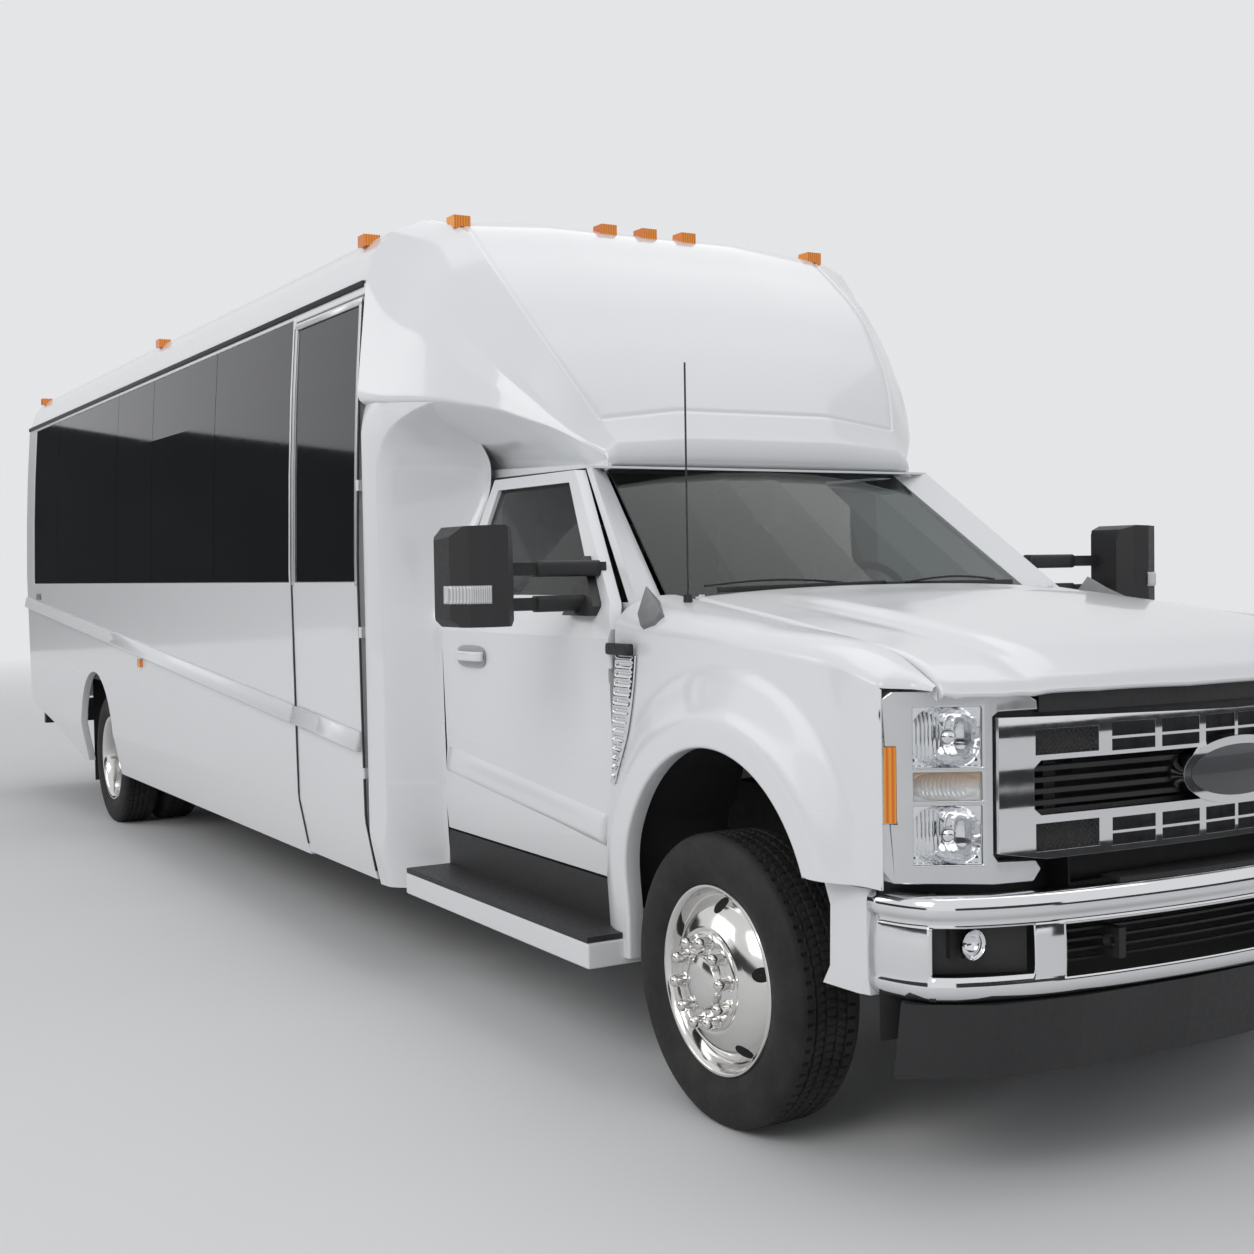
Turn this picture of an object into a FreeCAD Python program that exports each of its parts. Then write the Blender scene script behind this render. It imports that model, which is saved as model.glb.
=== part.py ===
import FreeCAD, Part
import math
import os
import Sketcher

# A shuttle bus: a long hollow passenger body and fibreglass front cap on a
# cutaway truck chassis with twin rear wheels. Millimetres. +X is forwards,
# +Y is the bus's left and +Z is up. The origin is on the ground, at the
# middle of the bus's length and width.

os.makedirs("parts", exist_ok=True)
doc = FreeCAD.newDocument("Minibus")
sheet = doc.addObject("Spreadsheet::Sheet", "Sizes")

DIMENSIONS = {
    # Chassis, all stations measured along the bus.
    "front_axle_x": 4010,
    "wheelbase": 6780,
    "rear_overhang": 2130,
    "axle_height": 405,
    "rail_spacing": 860,
    "rail_width": 74,
    "rail_height": 200,
    "rail_bottom": 640,
    "rail_wall": 9,
    "member_height": 70,
    # Wheels and tyres, 19.5 inch rims.
    "tyre_radius": 405,
    "tyre_width": 226,
    "bead_radius": 250,
    "flange_radius": 262,
    "rim_width": 192,
    "front_wheel_y": 944,
    "rear_wheel_y": 1037,
    "twin_spacing": 261,
    "king_pin_y": 790,
    "spindle_radius": 30,
    "rear_spindle_radius": 45,
    "running_gap": 0.05,
    # Passenger body.
    "floor_top": 960,
    "floor_thickness": 60,
    "body_half_width": 1240,
    "sill_half_width": 1180,
    "eaves_half_width": 1190,
    "wall_thickness": 45,
    "skirt_bottom": 350,
    "eaves_height": 2650,
    "roof_height": 2950,
    "roof_thickness": 50,
    "window_bottom": 1512,
    "window_top": 2620,
    "glass_thickness": 6,
    "cap_rear": 2112,
    "door_front": 2140,
    "door_rear": 2900,
    "door_top": 2600,
    "door_bottom": 365,
    "seam": 8,
    "entry_door_gap": 14,
    # The licence plate's four screw holes in the rear wall.
    "plate_hole_spacing_y": 177.8,
    "plate_hole_spacing_z": 120.65,
    "plate_hole_radius": 3.5,
    "plate_height": 800,
    "tow_eye_radius": 20,
    # Cab.
    "cab_half_width": 1016,
    "cab_door_front": 600,
    "cab_door_rear": 1864,
    "cab_door_bottom": 586,
    "cab_belt": 1442,
    "cab_floor_top": 900,
    "cab_roof": 1950,
    "cab_door_thickness": 75,
    # Front end.
    "bumper_face": 960,
    "bumper_top": 756,
    "bumper_bottom": 491,
    "arch_radius": 475,
    "arch_height": 585,
    "hood_gap": 8,
    # Hinges: a pin on the fixed side in a barrel on the moving side.
    "hinge_pin_radius": 4,
    "hinge_barrel_radius": 7,
    "hood_hinge_height": 1452,
}


class Length:
    """A size with its number now and the text that binds it to the sheet."""

    def __init__(self, value, text):
        self.value = value
        self.text = text

    def __float__(self):
        return float(self.value)

    def __add__(self, other):
        other = length(other)
        return Length(self.value + other.value, f"({self.text} + {other.text})")

    def __sub__(self, other):
        other = length(other)
        return Length(self.value - other.value, f"({self.text} - {other.text})")

    def __rsub__(self, other):
        return length(other) - self

    def __mul__(self, other):
        other = length(other)
        return Length(self.value * other.value, f"({self.text} * {other.text})")

    def __truediv__(self, other):
        other = length(other)
        return Length(self.value / other.value, f"({self.text} / {other.text})")

    def __neg__(self):
        return length(0) - self

    __radd__ = __add__
    __rmul__ = __mul__


def length(size):
    if isinstance(size, Length):
        return size
    return Length(float(size), f"({float(size)})")


class Sizes:
    """The sheet's sizes, read by name."""

    def __getattr__(self, name):
        return Length(float(sheet.get(name)), "Sizes." + name)


for row, (alias, number) in enumerate(DIMENSIONS.items(), start=1):
    sheet.set(f"A{row}", str(number))
    sheet.setAlias(f"A{row}", alias)
doc.recompute()
d = Sizes()

PIECES = {}


def vec(x, y, z):
    return FreeCAD.Vector(float(x), float(y), float(z))


def place(piece, base):
    """Bind a piece's Placement to three sizes."""
    for axis, size in zip("xyz", base):
        piece.setExpression("Placement.Base." + axis, length(size).text)


def box(name, low, high):
    """A block between two corners."""
    piece = doc.addObject("Part::Box", name)
    for side, start, end in zip(("Length", "Width", "Height"), low, high):
        piece.setExpression(side, (length(end) - start).text)
    place(piece, low)
    return piece


TURN = {
    "x": FreeCAD.Rotation(FreeCAD.Vector(0, 1, 0), 90),
    "y": FreeCAD.Rotation(FreeCAD.Vector(1, 0, 0), -90),
    "z": FreeCAD.Rotation(),
}


def rod(name, base, radius, reach, along):
    """A round bar from a base centre, along x, y or z."""
    piece = doc.addObject("Part::Cylinder", name)
    piece.Placement = FreeCAD.Placement(FreeCAD.Vector(), TURN[along])
    piece.setExpression("Radius", length(radius).text)
    piece.setExpression("Height", length(reach).text)
    place(piece, base)
    return piece


def fuse(name, pieces):
    piece = doc.addObject("Part::MultiFuse", name)
    piece.Shapes = pieces
    return piece


def cut(name, base, tools):
    piece = doc.addObject("Part::Cut", name)
    piece.Base = base
    piece.Tool = tools[0] if len(tools) == 1 else fuse(name + "_tools", tools)
    return piece


def common(name, base, tool):
    piece = doc.addObject("Part::Common", name)
    piece.Base = base
    piece.Tool = tool
    return piece


def group(name, pieces):
    """Separate solids of one kind, kept as one sub-part."""
    piece = doc.addObject("Part::Compound", name)
    piece.Links = pieces
    return piece


def feature(name, shape):
    """A lofted sub-part that no single sketch or primitive gives."""
    piece = doc.addObject("Part::Feature", name)
    piece.Shape = shape
    return piece


def outline_sketch(body, name, plane, outline, offset):
    """A closed sketch of straight runs whose corners are bound to the sheet."""
    sketch = body.newObject("Sketcher::SketchObject", name)
    role = plane + "_Plane"
    base = [item for item in body.Origin.OriginFeatures if item.Role == role][0]
    sketch.AttachmentSupport = [(base, "")]
    sketch.MapMode = "FlatFace"
    sketch.setExpression("AttachmentOffset.Base.z", length(offset).text)
    corners = [(length(a), length(b)) for a, b in outline]
    count = len(corners)
    for index in range(count):
        start = corners[index]
        end = corners[(index + 1) % count]
        sketch.addGeometry(Part.LineSegment(vec(start[0], start[1], 0), vec(end[0], end[1], 0)), False)
    for index in range(count):
        sketch.addConstraint(Sketcher.Constraint("Coincident", index, 2, (index + 1) % count, 1))
    for index, corner in enumerate(corners):
        for kind, size in zip(("DistanceX", "DistanceY"), corner):
            constraint = Sketcher.Constraint(kind, -1, 1, index, 1, float(size))
            number = sketch.addConstraint(constraint)
            sketch.setExpression(f"Constraints[{number}]", size.text)
    return sketch


def profile(name, plane, outline, start, end):
    """An outline padded from start to end along the plane's own axis.

    YZ outlines run along +X, XY outlines along +Z and XZ outlines along +Y.
    """
    body = doc.addObject("PartDesign::Body", name)
    offset = -length(end) if plane == "XZ" else length(start)
    sketch = outline_sketch(body, name + "_outline", plane, outline, offset)
    pad = body.newObject("PartDesign::Pad", name + "_pad")
    pad.Profile = sketch
    pad.setExpression("Length", (length(end) - start).text)
    return body


def turned(name, outline, centre):
    """A radius and width outline turned about a cross axis through centre."""
    body = doc.addObject("PartDesign::Body", name)
    sketch = outline_sketch(body, name + "_outline", "XY", outline, 0)
    turn = body.newObject("PartDesign::Revolution", name + "_turn")
    turn.Profile = sketch
    turn.ReferenceAxis = (sketch, ["V_Axis"])
    turn.Angle = 360
    place(body, centre)
    return body


def wire(points):
    corners = [vec(*point) for point in points]
    return Part.makePolygon(corners + corners[:1])


def loft(sections):
    """A straight-ruled solid through closed sections of equal corner count."""
    return Part.makeLoft([wire(section) for section in sections], True, True)


def piece(node, source):
    """Name a finished sub-part, which is written under this name."""
    source.Label = node
    PIECES[node] = source
    return source


def ahead(distance):
    """A station this far ahead of the front axle."""
    return d.front_axle_x + distance


def span(side, near, far):
    """The low and high y of a stretch between two half widths on one side."""
    if side < 0:
        return -length(far), -length(near)
    return length(near), length(far)


def wall_span(side):
    """A stretch across one whole body wall, with room on both faces."""
    return span(side, d.body_half_width - 340, d.body_half_width + 160)


rear_axle_x = d.front_axle_x - d.wheelbase
body_rear = rear_axle_x - d.rear_overhang
body_front = ahead(-d.cap_rear)
rail_outer = (d.rail_spacing + d.rail_width) / 2
rail_inner = (d.rail_spacing - d.rail_width) / 2
rail_top = d.rail_bottom + d.rail_height
floor_bottom = d.floor_top - d.floor_thickness
bumper_back = ahead(d.bumper_face - 200)


def chassis():
    """Two channel rails, the cross members between them, floor sills and tow hooks."""
    rails = []
    web = rail_outer - d.rail_wall
    for side, name in ((-1, "right"), (1, "left")):
        low = rail_inner if side > 0 else -rail_outer
        high = rail_outer if side > 0 else -rail_inner
        solid = box("rail_" + name, (body_rear + d.wall_thickness + 5, low, d.rail_bottom), (bumper_back, high, rail_top))
        open_low = low if side > 0 else low + d.rail_wall
        open_high = high - d.rail_wall if side > 0 else high
        hollow = box("rail_hollow_" + name,
                     (body_rear, open_low, d.rail_bottom + d.rail_wall),
                     (bumper_back + 10, open_high, rail_top - d.rail_wall))
        rails.append(cut("channel_" + name, solid, [hollow]))
    piece("chassis_frame", group("rail_pair", rails))
    stations = [ahead(660), ahead(-300), ahead(-1500), ahead(-2900), ahead(-4300), ahead(-5700),
                rear_axle_x - 620, body_rear + 160]
    members = []
    member_low = d.rail_bottom + d.rail_wall
    for number, station in enumerate(stations):
        members.append(box(f"cross_member_{number}", (station - 50, -web, member_low),
                           (station + 50, web, member_low + d.member_height)))
    members.append(box("radiator_support", (ahead(610), -610, rail_top), (ahead(710), 610, rail_top + 50)))
    piece("cross_members", group("cross_member_set", members))
    sills = []
    sill_count = 9
    first = ahead(-2300)
    pitch = (first - (body_rear + 200)) / (sill_count - 1)
    clear = box("sill_clearance", (ahead(-d.door_rear), -1300, rail_top - 10),
                (ahead(-d.door_front), -540, floor_bottom + 10))
    for number in range(sill_count):
        station = first - pitch * number
        sill = box(f"floor_sill_{number}", (station - 40, -d.sill_half_width + 120, rail_top),
                   (station + 40, d.sill_half_width - 120, floor_bottom))
        sills.append(cut(f"floor_sill_cut_{number}", sill, [clear]) if number == 0 else sill)
    for side, y in (("right", -d.rail_spacing / 2), ("left", d.rail_spacing / 2)):
        for number, station in enumerate((-950, -1750)):
            sills.append(box(f"cab_pad_{side}_{number}", (ahead(station - 50), y - 35, rail_top),
                             (ahead(station + 50), y + 35, d.cab_floor_top - 40)))
    piece("floor_sills", group("sill_set", sills))
    hooks = []
    for name, side in (("right", -1), ("left", 1)):
        y = d.rail_spacing / 2 * side
        plate = box("tow_plate_" + name, (ahead(690), y - 12, 565), (ahead(905), y + 12, d.rail_bottom))
        eye = rod("tow_eye_" + name, (ahead(872), y - 20, 602), d.tow_eye_radius, 40, "y")
        hooks.append(cut("tow_hook_" + name, plate, [eye]))
    piece("tow_hooks", group("tow_hook_pair", hooks))


def powertrain():
    """The engine as a plain block, gearbox, propeller shaft, tank and exhaust."""
    block_bottom = d.rail_bottom + d.rail_wall + d.member_height
    piece("engine_block", box("engine", (ahead(-620), -330, block_bottom), (ahead(280), 330, 1180)))
    shaft_height = d.axle_height + 40
    nose = rear_axle_x + 210
    gearbox = box("gearbox", (ahead(-1400), -190, shaft_height - 60), (ahead(-620), 190, d.rail_bottom + 170))
    shaft = rod("propeller_shaft", (nose, 0, shaft_height), 48, ahead(-1400) - nose, "x")
    tank_front = rear_axle_x - 760
    tank = [box("tank_body", (tank_front - 760, -330, 430), (tank_front, 330, d.rail_bottom - 8))]
    for number, back in enumerate((620, 200)):
        tank.append(box(f"tank_strap_{number}", (tank_front - back, -rail_outer, d.rail_bottom - 16),
                        (tank_front - back + 60, rail_outer, d.rail_bottom)))
    pipe_y = rail_outer + 110
    muffler = rod("muffler", (ahead(-3400), pipe_y, 640), 95, 700, "x")
    pipe = rod("exhaust_pipe", (ahead(-5400), pipe_y, 640), 38, 4400, "x")
    hangers = [box(f"hanger_{number}", (ahead(station), rail_outer, 640), (ahead(station + 40), pipe_y + 20, 730))
               for number, station in enumerate((-1300, -3100, -5200))]
    exhaust = fuse("exhaust_system", [muffler, pipe] + hangers)
    piece("driveline", group("driveline_set", [fuse("gearbox_and_shaft", [gearbox, shaft]), fuse("tank", tank), exhaust]))


def front_axle():
    """A beam axle on coil springs whose forked ends hold the king pins."""
    beam = box("beam", (ahead(-45), -d.king_pin_y + 60, d.axle_height - 60), (ahead(45), d.king_pin_y - 60, d.axle_height + 20))
    parts = [beam]
    for name, side in (("right", -1), ("left", 1)):
        pin_y = d.king_pin_y * side
        eye = rod("pin_eye_" + name, (ahead(0), pin_y, d.axle_height - 45), 34, 90, "z")
        neck_low = pin_y if side < 0 else pin_y - 70
        neck = box("neck_" + name, (ahead(-30), neck_low, d.axle_height - 45), (ahead(30), neck_low + 70, d.axle_height + 20))
        pin = rod("king_pin_" + name, (ahead(0), pin_y, d.axle_height - 110), 18, 220, "z")
        spring = rod("spring_" + name, (ahead(0), d.rail_spacing / 2 * side, d.axle_height + 20), 62,
                     d.rail_bottom - d.axle_height - 20, "z")
        parts += [eye, neck, pin, spring]
    piece("front_axle", fuse("front_beam", parts))


def knuckle(name, side):
    """A steered knuckle: two ears round the king pin and the wheel spindle."""
    pin_y = d.king_pin_y * side
    upright_low = pin_y - 34
    upright = box("upright_" + name, (ahead(-40), upright_low, d.axle_height - 105), (ahead(40), upright_low + 68, d.axle_height + 105))
    slot = box("eye_slot_" + name, (ahead(-60), pin_y - 90, d.axle_height - 51), (ahead(60), pin_y + 90, d.axle_height + 51))
    web_low = pin_y - 66 if side < 0 else pin_y + 44
    web = box("web_" + name, (ahead(-40), web_low, d.axle_height - 105), (ahead(40), web_low + 22, d.axle_height + 105))
    bridge_low = pin_y - 50 if side < 0 else pin_y + 30
    top = box("bridge_top_" + name, (ahead(-40), bridge_low, d.axle_height + 51), (ahead(40), bridge_low + 20, d.axle_height + 105))
    low = box("bridge_low_" + name, (ahead(-40), bridge_low, d.axle_height - 105), (ahead(40), bridge_low + 20, d.axle_height - 51))
    ears = cut("ears_" + name, upright, [slot])
    pin_hole = rod("pin_hole_" + name, (ahead(0), pin_y, d.axle_height - 120), 18 + d.running_gap, 240, "z")
    reach = d.front_wheel_y + 95 - d.king_pin_y - 55
    start = -(d.king_pin_y + 55) - reach if side < 0 else d.king_pin_y + 55
    spindle = rod("spindle_" + name, (ahead(0), start, d.axle_height), d.spindle_radius, reach, "y")
    solid = fuse("knuckle_body_" + name, [ears, web, top, low, spindle])
    piece("knuckle_" + name, cut("knuckle_cut_" + name, solid, [pin_hole]))


def rear_axle():
    """A live axle: housing, differential bowl, spindles and leaf springs."""
    housing_end = d.rear_wheel_y - 215
    tube = rod("axle_tube", (rear_axle_x, -housing_end, d.axle_height), 62, housing_end * 2, "y")
    spindles = rod("axle_spindles", (rear_axle_x, -d.rear_wheel_y, d.axle_height), d.rear_spindle_radius, d.rear_wheel_y * 2, "y")
    bowl = rod("differential", (rear_axle_x, -150, d.axle_height), 190, 300, "y")
    parts = [tube, spindles, bowl]
    for name, side in (("right", -1), ("left", 1)):
        leaf_y = d.rail_spacing / 2 * side
        parts.append(box("leaf_" + name, (rear_axle_x - 700, leaf_y - 38, d.axle_height + 60), (rear_axle_x + 700, leaf_y + 38, d.axle_height + 120)))
        for end in (-700, 640):
            parts.append(box(f"shackle_{name}_{'rear' if end < 0 else 'front'}",
                             (rear_axle_x + end, leaf_y - 20, d.axle_height + 120),
                             (rear_axle_x + end + 60, leaf_y + 20, d.rail_bottom)))
    piece("rear_axle", fuse("rear_axle_body", parts))


def tyre_outline(middle):
    """Half-flat tread, rounded shoulder, sidewall and bead, in radius and width."""
    half = d.tyre_width / 2
    bead = d.rim_width / 2 - 10
    right = [(d.bead_radius, -bead), (d.flange_radius + 2, -bead), (d.bead_radius + 35, -half + 12), (d.bead_radius + 80, -half),
             (d.tyre_radius - 32, -half + 7), (d.tyre_radius - 8, -half + 20), (d.tyre_radius, -half + 38)]
    left = [(radius, -width) for radius, width in reversed(right)]
    return [(radius, width + middle) for radius, width in right + left]


def front_wheel(name, side):
    """A steel rim under a convex polished cover, and its tyre."""
    centre = (ahead(0), d.front_wheel_y * side, d.axle_height)
    bore = d.spindle_radius + d.running_gap
    half = d.rim_width / 2
    contour = [
        (bore, -60), (110, -60), (110, 0), (180, 40), (d.bead_radius - 25, 30), (d.bead_radius - 25, -half),
        (d.flange_radius, -half), (d.flange_radius, -half + 10), (d.bead_radius, -half + 10),
        (d.bead_radius, half - 10), (d.flange_radius, half - 10), (d.flange_radius, half),
        (d.bead_radius - 15, half), (d.bead_radius - 28, half - 22), (150, 110), (92, 118), (86, 150),
        (0, 150), (0, 105), (bore, 105),
    ]
    rim = turned("front_rim_" + name, [(radius, length(width) * side) for radius, width in contour], centre)
    holes = []
    for number in range(8):
        angle = math.radians(45 * number + 22.5)
        start = d.front_wheel_y * side + (20 if side > 0 else -130)
        holes.append(rod(f"hand_hole_{name}_{number}",
                         (ahead(185 * math.cos(angle)), start, d.axle_height + 185 * math.sin(angle)), 19, 110, "y"))
    piece("front_wheel_" + name, cut("front_wheel_cut_" + name, rim, holes))
    piece("front_tyre_" + name, turned("front_tread_" + name, tyre_outline(0), centre))


def rear_wheels(name, side):
    """Two rims bolted back to back on one hub, with a deep dished cover."""
    centre = (rear_axle_x, d.rear_wheel_y * side, d.axle_height)
    bore = d.rear_spindle_radius + d.running_gap
    half = d.rim_width / 2
    inner = -d.twin_spacing
    contour = [
        (bore, -190), (120, -190), (120, -150), (d.bead_radius - 25, -150), (d.bead_radius - 25, inner - half),
        (d.flange_radius, inner - half), (d.flange_radius, inner - half + 10),
        (d.bead_radius, inner - half + 10), (d.bead_radius, inner + half - 10),
        (d.flange_radius, inner + half - 10), (d.flange_radius, inner + half),
        (d.bead_radius - 10, inner + half), (d.bead_radius - 10, -half),
        (d.flange_radius, -half), (d.flange_radius, -half + 10), (d.bead_radius, -half + 10),
        (d.bead_radius, half - 10), (d.flange_radius, half - 10), (d.flange_radius, half),
        (d.bead_radius - 17, half), (d.bead_radius - 24, half - 18), (d.bead_radius - 30, -100), (140, -96),
        (96, -62), (90, 40), (0, 40), (0, 10), (bore, 10),
    ]
    rims = turned("rear_rims_" + name, [(radius, length(width) * side) for radius, width in contour], centre)
    piece("rear_wheels_" + name, rims)
    tyres = []
    for place_name, middle in (("outer", 0), ("inner", -d.twin_spacing)):
        outline = [(radius, length(width) * side) for radius, width in tyre_outline(middle)]
        tyres.append(turned(f"rear_tyre_{name}_{place_name}", outline, centre))
    piece("rear_tyres_" + name, group("rear_tyres_group_" + name, tyres))


def wall_outer():
    """The body side's outer line, as half width and height, from skirt to eaves."""
    return [
        (d.sill_half_width, d.skirt_bottom),
        (d.body_half_width - 12, 600),
        (d.body_half_width - 7, 900),
        (d.body_half_width - 4, 1250),
        (d.body_half_width, 1560),
        (d.body_half_width - 10, 1960),
        (d.body_half_width - 25, 2290),
        (d.eaves_half_width, d.eaves_height),
    ]


def wall_section(inset_out, inset_in, side):
    """A closed wall section between two depths in from the outer line."""
    outer = [((half - inset_out) * side, height) for half, height in wall_outer()]
    inner = [((half - inset_in) * side, height) for half, height in wall_outer()]
    return outer + inner[::-1]


def arch_tool(name, side, station, centre_height, radius):
    """A wheel arch cutter: a round top with straight sides to the ground."""
    low, high = span(side, d.body_half_width - 640, d.body_half_width + 160)
    round_top = rod("arch_round_" + name, (station, low, centre_height), radius, high - low, "y")
    legs = box("arch_legs_" + name, (station - radius, low, -10), (station + radius, high, centre_height))
    return fuse("arch_" + name, [round_top, legs])


WINDOW_EDGES = (2946, 4072, 5270, 6096, 7797, 8640)
ENTRY_HINGES = (760, 1300, 1860)
CAB_HINGES = (760, 1240)
STEP_INNER = -560


def side_wall(name, side):
    """One body side: skirt, wheel arch, waist moulding and window openings."""
    doorway_end = ahead(-d.door_rear) - d.entry_door_gap
    front = doorway_end if side < 0 else body_front
    wall = profile("wall_" + name, "YZ", wall_section(0, d.wall_thickness, side), body_rear, front)
    tools = [arch_tool("rear_" + name, side, rear_axle_x, 500, 455)]
    low, high = wall_span(side)
    for number, (start, end) in enumerate(zip(WINDOW_EDGES[:-1], WINDOW_EDGES[1:])):
        tools.append(box(f"window_{name}_{number}", (ahead(-end + 50), low, d.window_bottom + 50),
                         (ahead(-start - 50), high, d.window_top - 40)))
    recess = profile("glass_recess_" + name, "YZ", wall_section(-20, d.glass_thickness + 4, side),
                     ahead(-WINDOW_EDGES[-1]), ahead(-WINDOW_EDGES[0]))
    band = box("glass_band_" + name, (ahead(-WINDOW_EDGES[-1]), low, d.window_bottom),
               (ahead(-WINDOW_EDGES[0]), high, d.window_top))
    tools.append(common("glass_seat_" + name, recess, band))
    sweep = profile("skirt_sweep_" + name, "XZ",
                    [(rear_axle_x - 500, 200), (rear_axle_x - 500, 330), (rear_axle_x - 1300, 520),
                     (body_rear - 10, 660), (body_rear - 10, 200)], low, high)
    tools.append(sweep)
    opened = cut("wall_open_" + name, wall, tools)
    moulding_start = ahead(-d.door_rear - 20) if side < 0 else body_front
    front_height = 990 if side < 0 else 935
    outer_low = d.body_half_width - 20
    outline = [(body_rear, 1349), (body_rear, 1400), (moulding_start, front_height), (moulding_start, front_height - 78)]
    moulding_low, moulding_high = span(side, outer_low, d.body_half_width + 8)
    moulding = profile("moulding_" + name, "XZ", outline, moulding_low, moulding_high)
    pieces = [opened, moulding]
    if side < 0:
        header = profile("header", "YZ", wall_section(0, d.wall_thickness, -1), doorway_end, body_front)
        header_clip = box("header_clip", (doorway_end - 100, low, d.door_top + d.seam),
                          (body_front + 100, high, d.eaves_height + 10))
        pieces.append(common("door_header_cut", header, header_clip))
    piece("side_wall_" + name, fuse("side_wall_body_" + name, pieces))
    panes = []
    edges = WINDOW_EDGES
    for number, (start, end) in enumerate(zip(edges[:-1], edges[1:])):
        pane = profile(f"pane_{name}_{number}", "YZ", wall_section(4, d.glass_thickness + 4, side),
                       ahead(-end + 3), ahead(-start - 3))
        clip = box(f"pane_clip_{name}_{number}", (ahead(-end), low, d.window_bottom + 3),
                   (ahead(-start), high, d.window_top - 3))
        panes.append(common(f"pane_cut_{name}_{number}", pane, clip))
    return panes


def roof_half(inset):
    """The roof's outer line from the eaves to the crown."""
    eaves = d.eaves_half_width
    rise = d.roof_height - d.eaves_height
    return [
        (eaves - inset, d.eaves_height),
        (eaves - 40 - inset, d.eaves_height + rise * 0.4 - inset / 2),
        (eaves - 108 - inset * 0.8, d.eaves_height + rise * 0.667 - inset * 0.8),
        (eaves - 250 - inset * 0.4, d.eaves_height + rise * 0.86 - inset),
        (eaves * 0.42, d.roof_height - 12 - inset),
    ]


def roof_section(inset):
    half = [(length(y), length(z)) for y, z in roof_half(length(inset))]
    return [(-y, z) for y, z in half] + [(y, z) for y, z in reversed(half)]


def body_shell():
    """Floor, roof and rear wall of the passenger body."""
    floor_half = d.body_half_width - 7 - d.wall_thickness - 0.3
    deck = box("deck", (body_rear + d.wall_thickness, -floor_half, floor_bottom), (body_front, floor_half, d.floor_top))
    well = box("step_well", (ahead(-d.door_rear + 40), -d.body_half_width, floor_bottom - 10),
               (ahead(-d.door_front - 10), STEP_INNER, d.floor_top + 10))
    piece("bus_floor", fuse("floor_and_steps", [cut("floor_cut", deck, [well]), entry_steps()]))
    outer = roof_section(0)
    inner = roof_section(d.roof_thickness)
    roof = profile("roof_outer", "YZ", outer, body_rear, body_front)
    hollow = profile("roof_hollow", "YZ", [(y, z - 0.5) if number in (0, len(inner) - 1) else (y, z)
                                           for number, (y, z) in enumerate(inner)],
                     body_rear - 10, body_front + 10)
    piece("roof", cut("roof_shell", roof, [hollow]))
    inside = d.wall_thickness
    rear_outline = [(half - inside, length(height)) for half, height in wall_outer() if float(height) > 650]
    half = [(d.body_half_width - 11 - inside, 660)] + rear_outline[:-1]
    half += [(d.eaves_half_width - inside - 1, d.eaves_height - 10)] + roof_half(d.roof_thickness + 0.5)
    outline = [(-y, z) for y, z in half] + [(y, z) for y, z in reversed(half)]
    rear = profile("rear_plate", "YZ", outline, body_rear, body_rear + d.wall_thickness)
    doorway = box("rear_doorway", (body_rear - 10, -430, d.floor_top + 20), (body_rear + 100, 430, 2450))
    holes = []
    for number, (y, z) in enumerate(((-1, -1), (-1, 1), (1, -1), (1, 1))):
        holes.append(rod(f"plate_hole_{number}", (body_rear - 10, d.plate_hole_spacing_y * y / 2,
                                                  d.plate_height + d.plate_hole_spacing_z * z / 2),
                         d.plate_hole_radius, 80, "x"))
    hinge_x = body_rear - 8
    fixed = []
    moving = []
    bores = []
    for number, height in enumerate((1200, 2200)):
        fixed.append(barrel(f"rear_fixed_barrel_{number}", hinge_x, -426, height - 40, 39.5))
        fixed.append(box(f"rear_fixed_leaf_{number}", (hinge_x, -500, height - 40), (body_rear, -426, height - 0.5)))
        fixed.append(rod(f"rear_pin_{number}", (hinge_x, -426, height - 40), d.hinge_pin_radius, 80, "z"))
        moving.append(barrel(f"rear_door_barrel_{number}", hinge_x, -426, height, 41))
        moving.append(box(f"rear_door_leaf_{number}", (hinge_x, -426, height), (body_rear, -350, height + 41)))
        bores.append(rod(f"rear_bore_{number}", (hinge_x, -426, height - 1), d.hinge_pin_radius + d.running_gap, 50, "z"))
    piece("rear_wall", fuse("rear_wall_hinged", [cut("rear_wall_cut", rear, [doorway] + holes)] + fixed))
    leaf = box("rear_leaf", (body_rear, -430 + d.seam, d.floor_top + 20 + d.seam),
               (body_rear + 40, 430 - d.seam, 2450 - d.seam))
    window = box("rear_leaf_window", (body_rear - 10, -300, 1560), (body_rear + 60, 300, 2300))
    piece("rear_door", cut("rear_door_cut", fuse("rear_door_hinged", [leaf] + moving), [window] + bores))
    piece("rear_door_glass", box("rear_pane", (body_rear + 10, -300, 1560), (body_rear + 16, 300, 2300)))


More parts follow.
